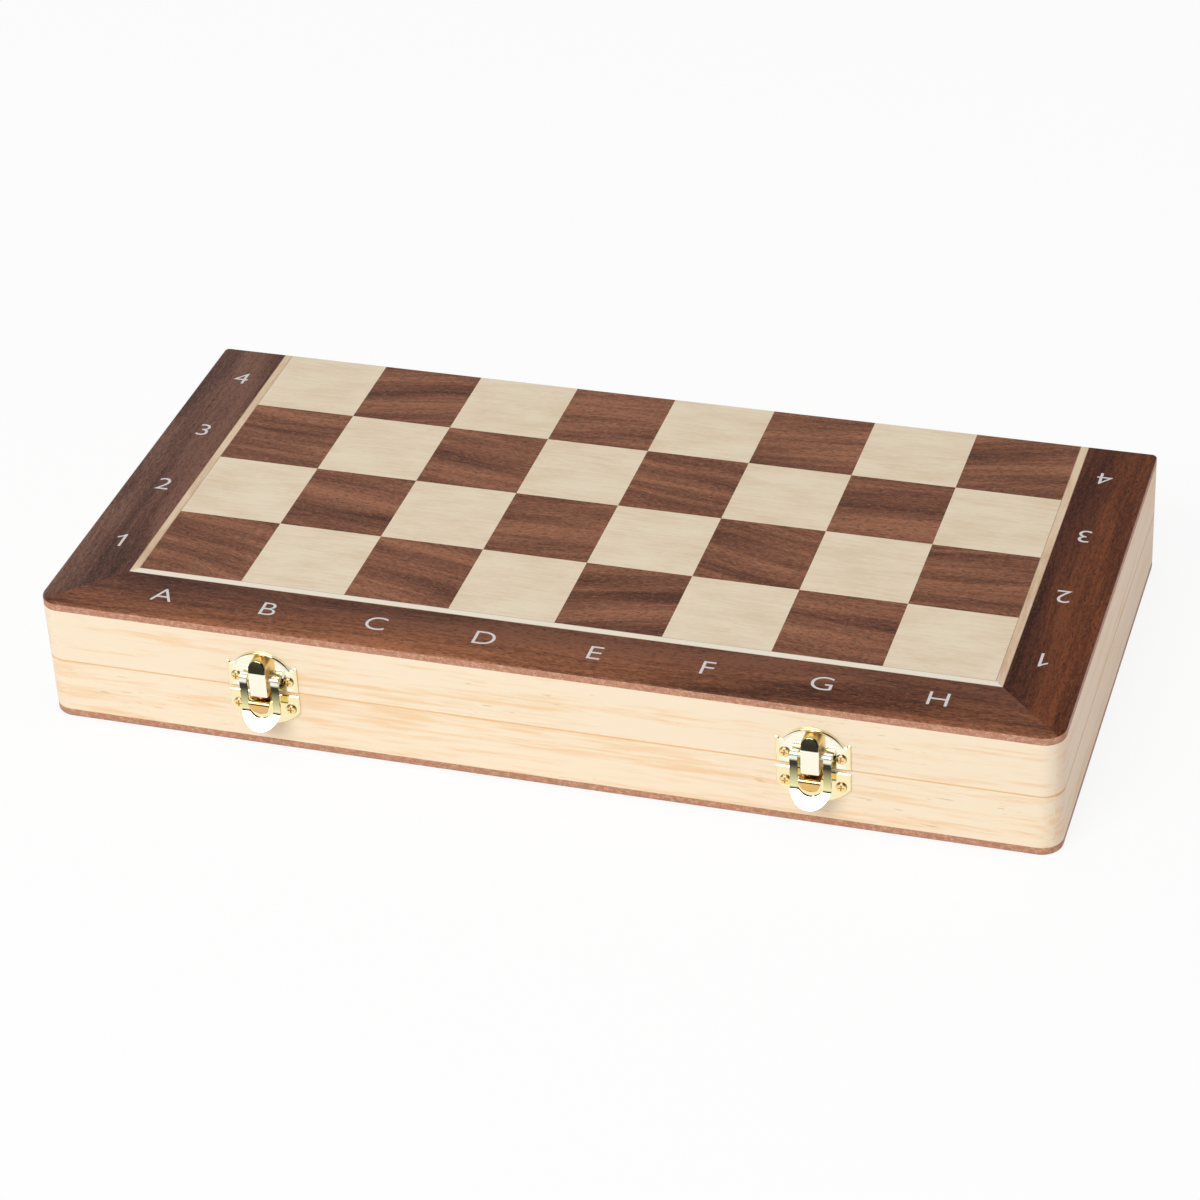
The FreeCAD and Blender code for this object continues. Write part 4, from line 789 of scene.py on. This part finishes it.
class CHESS_OT_fittings(bpy.types.Operator):
    """Dress the clasps in gold plating and the hinges in brass"""
    bl_idname = "chess_set.fittings"
    bl_label = "Clasps and hinges"

    def execute(self, context):
        fitting = settings_of(context).fitting
        shiny, brushed = fitting.gold_roughness, CLASP_BRUSHING
        gold = plated("clasp_plating", fitting.gold, shiny, brushed)
        # Lid plates, rings, hoods and pins start from the pale gold, a painted highlight
        special = {
            "lid_plate": plated("lid_plating", fitting.pale, shiny, brushed, lid_painted_highlight(fitting)),
            "lever": plated("ring_plating", fitting.pale, shiny, brushed, ring_painted_reflection(fitting)),
            "hood": plated("hood_plating", fitting.pale, shiny, brushed, hood_painted_reflection(fitting)),
            "hook_plate": plated("hook_plating", fitting.gold, shiny, brushed,
                                 hook_painted_shade(fitting)),
            "latch_screws": plated("screw_plating", fitting.screw, SCREW_ROUGHNESS, brushed,
                                   screw_painted_shade(fitting)),
            "latch_pin": plated("pin_plating", fitting.pale, PIN_ROUGHNESS, brushed),
        }
        brass = plated("hinge_brass", fitting.brass, fitting.brass_roughness, HINGE_BRUSHING)
        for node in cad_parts:
            if "latch" in node:
                wear(node, next((finish for ending, finish in special.items()
                                 if node.endswith(ending)), gold))
            elif "hinge" in node:
                wear(node, brass)
        return {"FINISHED"}


class CHESS_OT_men(bpy.types.Operator):
    """Dress the light and dark chessmen and checkers"""
    bl_idname = "chess_set.men"
    bl_label = "Men"

    def execute(self, context):
        men = settings_of(context).men
        woods = (("light", men.light, men.light_streak), ("dark", men.dark, men.dark_streak))
        for number, (side, plain, streaked) in enumerate(woods):
            wood = turned_wood(f"{side}_men_wood", men, plain, streaked, MEN_SEED_STEP * number)
            for kind in KINDS:
                wear(f"{side}_{kind}", wood)
        return {"FINISHED"}


class CHESS_OT_felt(bpy.types.Operator):
    """Lay a felt sheet on the inner face of each panel"""
    bl_idname = "chess_set.felt"
    bl_label = "Felt linings"

    def execute(self, context):
        felt = settings_of(context).felt
        material = felted("lining_felt", felt)
        for half in HALVES:
            low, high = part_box(f"{half}_felt")
            sheet = self.lining(f"{half}_lining", low, high, felt, half == "base")
            sheet.data.materials.append(material)
            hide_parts(f"{half}_felt")
            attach(sheet, half)
        return {"FINISHED"}

    def lining(self, name, low, high, felt, faces_up):
        """A thin slab whose open face is uneven and whose rim is rounded over."""
        span = high - low
        columns = round(span.x / felt.cell)
        rows = round(span.y / felt.cell)
        mesh = bmesh.new()
        bmesh.ops.create_grid(mesh, x_segments=columns, y_segments=rows, size=0.5)
        middle = (low + high) / 2
        back, face = (low.z, high.z) if faces_up else (high.z, low.z)
        inward = math.copysign(1.0, back - face)
        for vertex in mesh.verts:
            share_x, share_y = vertex.co.x, vertex.co.y
            rim = max(abs(share_x), abs(share_y)) > FELT_RIM_SHARE
            place_x, place_y = middle.x + share_x * span.x, middle.y + share_y * span.y
            wave = (math.sin(place_x * RIPPLE_X + BEND_X * math.sin(place_y * BEND_WAVES_Y))
                    + math.sin(place_y * RIPPLE_Y + BEND_Y * math.sin(place_x * BEND_WAVES_X)))
            sink = felt.nap * (0.5 + 0.25 * wave) + (RIM_NAPS * felt.nap if rim else 0.0)
            vertex.co = (place_x, place_y, face + inward * sink)
        top = list(mesh.faces)
        walls = bmesh.ops.extrude_face_region(mesh, geom=top)
        for item in walls["geom"]:
            if isinstance(item, bmesh.types.BMVert):
                item.co.z = back
        bmesh.ops.recalc_face_normals(mesh, faces=mesh.faces)
        data = bpy.data.meshes.new(name)
        mesh.to_mesh(data)
        mesh.free()
        data.shade_smooth()
        return placed(name, data)


class CHESS_OT_coordinates(bpy.types.Operator):
    """Print the letters and numbers on the border of each half"""
    bl_idname = "chess_set.coordinates"
    bl_label = "Coordinates"

    def execute(self, context):
        lettering = settings_of(context).lettering
        ink = printed("coordinate_ink", lettering)
        for half in HALVES:
            piece = self.printing(f"{half}_coordinates", half, lettering)
            piece.data.materials.append(ink)
            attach(piece, half)
        return {"FINISHED"}

    def printing(self, name, half, lettering):
        """All the marks of one half, lying on its playing face."""
        face = CAD_BOX[1][2] if half == "lid" else CAD_BOX[0][2]
        middle_file, middle_rank = (len(FILE_LETTERS) - 1) / 2, (len(RANKS[half]) - 1) / 2
        marks = bmesh.new()
        for number, letter in enumerate(FILE_LETTERS):
            across = (number - middle_file) * lettering.file_pitch - lettering.file_shift
            self.stamp(marks, letter, lettering, half, (across, -lettering.file_line, face), False)
        for number, digit in enumerate(RANKS[half]):
            up = lettering.rank_middle + (number - middle_rank) * lettering.rank_pitch
            for sign in (-1, 1):
                turned = (sign > 0) == (half == "lid")
                across = sign * lettering.rank_line - lettering.rank_shift
                self.stamp(marks, digit, lettering, half, (across, up, face), turned)
        data = bpy.data.meshes.new(name)
        marks.to_mesh(data)
        marks.free()
        return placed(name, data)

    def figure_one(self, height):
        """Outline of a figure one with a flag."""
        curve = bpy.data.curves.new("mark_1", "CURVE")
        curve.dimensions = "2D"
        curve.fill_mode = "BOTH"
        spline = curve.splines.new("POLY")
        spline.points.add(len(ONE_SHARES) - 1)
        for point, (across, up) in zip(spline.points, ONE_SHARES):
            point.co = (across * height, up * height, 0.0, 1.0)
        spline.use_cyclic_u = True
        return curve

    def stamp(self, marks, sign, lettering, half, place, turned):
        """Add one character, facing out of the playing face, centred on a place."""
        if sign == "1":
            text = self.figure_one(lettering.height)
        else:
            text = bpy.data.curves.new(f"mark_{sign}", "FONT")
            text.body = sign
            text.size = lettering.height / CAPITAL_SHARE
            text.resolution_u = CURVE_STEPS
        text.offset = -lettering.thinning
        text.extrude = lettering.film / 2
        carrier = placed(f"mark_{sign}", text)
        bpy.context.view_layer.update()
        outline = bpy.data.meshes.new_from_object(carrier)
        corners = [vertex.co for vertex in outline.vertices]
        middle = sum((Vector(map(pick, zip(*corners))) for pick in (min, max)), Vector()) / 2
        if sign == "1":
            middle.x += lettering.one_shift / lettering.breadth
        turn = Matrix.Rotation(math.pi if turned else 0.0, 4, "Z")
        if half == "base":
            turn = Matrix.Rotation(math.pi, 4, "Y") @ turn
        lift = lettering.film / 2 if half == "lid" else -lettering.film / 2
        where = Vector(place) + Vector((0.0, 0.0, lift))
        wider = Matrix.Scale(lettering.breadth, 4, Vector((1.0, 0.0, 0.0)))
        outline.transform(Matrix.Translation(where) @ turn @ wider @ Matrix.Translation(-middle))
        marks.from_mesh(outline)
        bpy.data.objects.remove(carrier)
        bpy.data.meshes.remove(outline)


class CHESS_OT_stage(bpy.types.Operator):
    """Set the floor, the studio light and the camera"""
    bl_idname = "chess_set.stage"
    bl_label = "Stage"

    def execute(self, context):
        stage = settings_of(context).stage
        scene = context.scene
        scene.view_settings.view_transform = "Standard"
        self.floor(stage)
        self.surround(scene, stage)
        self.softbox("key_softbox", stage.key_place, stage.key_size, stage.key_power)
        self.softbox("overhead_softbox", stage.fill_place, stage.fill_size, stage.fill_power)
        lens = bpy.data.cameras.new("camera")
        lens.lens = stage.lens
        lens.sensor_width = SENSOR
        lens.clip_end = VIEW_REACH
        camera = placed("camera", lens)
        camera.location = stage.camera_place
        camera.rotation_euler = stage.camera_turn
        scene.camera = camera
        return {"FINISHED"}

    def floor(self, stage):
        """Plain pale floor, lifted to white for the camera, that keeps the set's shadow."""
        data = bpy.data.meshes.new("floor")
        half = stage.floor_span / 2
        level = CAD_BOX[0][2] - FLOOR_DROP
        data.from_pydata([(-half, -half, level), (half, -half, level), (half, half, level),
                          (-half, half, level)], [], [(0, 1, 2, 3)])
        floor = placed("floor", data)
        finish = new_finish("floor_paper")
        matt = finish.node("ShaderNodeBsdfDiffuse", sockets={"Color": rgba(stage.floor)})
        glow, dark = (finish.node("ShaderNodeEmission", sockets={"Strength": strength})
                      for strength in (1.0, stage.room))
        seen = self.seen(finish)
        mirrored = finish.node("ShaderNodeLightPath", output="Is Glossy Ray")
        ahead = finish.fade(finish.place()[1] * -1.0, *FLOOR_AHEAD)
        glow = finish.node("ShaderNodeMixShader", sockets={0: mirrored * ahead, 1: glow, 2: dark})
        lit = finish.node("ShaderNodeMixShader", sockets={0: seen * stage.floor_glow, 1: matt,
                                                          2: glow})
        finish.node("ShaderNodeOutputMaterial", sockets={"Surface": lit})
        data.materials.append(finish.owner)

    def seen(self, finish):
        """1 for rays that show the backdrop: straight, mirrored or through glass."""
        rays = [finish.node("ShaderNodeLightPath", output=kind)
                for kind in ("Is Camera Ray", "Is Glossy Ray", "Is Transmission Ray")]
        return finish.node("ShaderNodeMath", {"operation": "ADD", "use_clamp": True},
                           {0: rays[0] + rays[1], 1: rays[2]})

    def surround(self, scene, stage):
        """White backdrop to look at, and a softer surround that lights the set."""
        world = bpy.data.worlds.new("studio")
        scene.world = world
        finish = Finish(world)
        soft, white, room = (finish.node("ShaderNodeBackground", sockets={"Strength": strength})
                             for strength in (stage.surround, 1.0, stage.room))
        x, y, z = (finish.node("ShaderNodeSeparateXYZ", sockets={
            0: finish.node("ShaderNodeTexCoord", output="Generated")}, output=axis)
            for axis in "XYZ")
        ceiling = finish.fade(z, *CEILING_RISE) * finish.fade(x, *CEILING_SIDE)
        dim = finish.larger(ceiling, finish.fade(y * -1.0, *ROOM_AHEAD))
        mirrored = finish.node("ShaderNodeLightPath", output="Is Glossy Ray")
        shown = finish.node("ShaderNodeMixShader", sockets={0: mirrored * dim, 1: white, 2: room})
        both = finish.node("ShaderNodeMixShader", sockets={0: self.seen(finish), 1: soft, 2: shown})
        finish.node("ShaderNodeOutputWorld", sockets={"Surface": both})

    def softbox(self, name, place, size, power):
        lamp = bpy.data.lights.new(name, "AREA")
        lamp.shape = "RECTANGLE"
        lamp.size, lamp.size_y = size
        lamp.energy = power
        carrier = placed(name, lamp)
        carrier.location = place
        carrier.rotation_euler = (-Vector(place)).to_track_quat("-Z", "Y").to_euler()


class ChessSetSettings(bpy.types.PropertyGroup):
    """All the settings of the set."""
    board: PointerProperty(type=BoardSettings)
    wall: PointerProperty(type=WallSettings)
    fitting: PointerProperty(type=FittingSettings)
    men: PointerProperty(type=MenSettings)
    felt: PointerProperty(type=FeltSettings)
    lettering: PointerProperty(type=LetteringSettings)
    stage: PointerProperty(type=StageSettings)


OPERATORS = (CHESS_OT_veneers, CHESS_OT_walls, CHESS_OT_fittings, CHESS_OT_men, CHESS_OT_felt,
             CHESS_OT_coordinates, CHESS_OT_stage)
GROUPS = (BoardSettings, WallSettings, FittingSettings, MenSettings, FeltSettings,
          LetteringSettings, StageSettings, ChessSetSettings)


class CHESS_PT_panel(bpy.types.Panel):
    """Lists the pieces and their settings."""
    bl_idname = "CHESS_PT_panel"
    bl_label = "Chess set"
    bl_space_type = "VIEW_3D"
    bl_region_type = "UI"
    bl_category = "Chess set"

    def draw(self, context):
        for operator in OPERATORS:
            self.layout.operator(operator.bl_idname)
        whole = settings_of(context)
        for group in whole.bl_rna.properties:
            if group.type != "POINTER":
                continue
            section = self.layout.box()
            held = getattr(whole, group.identifier)
            for item in held.bl_rna.properties:
                if item.identifier not in ("rna_type", "name"):
                    section.prop(held, item.identifier)


CLASSES = (*GROUPS, *OPERATORS, CHESS_PT_panel)


def register():
    for item in CLASSES:
        bpy.utils.register_class(item)
    bpy.types.Scene.chess_set = PointerProperty(type=ChessSetSettings)


def unregister():
    del bpy.types.Scene.chess_set
    for item in reversed(CLASSES):
        bpy.utils.unregister_class(item)


def main():
    register()
    for operator in OPERATORS:
        group, name = operator.bl_idname.split(".")
        getattr(getattr(bpy.ops, group), name)()


if __name__ == "__main__":
    main()
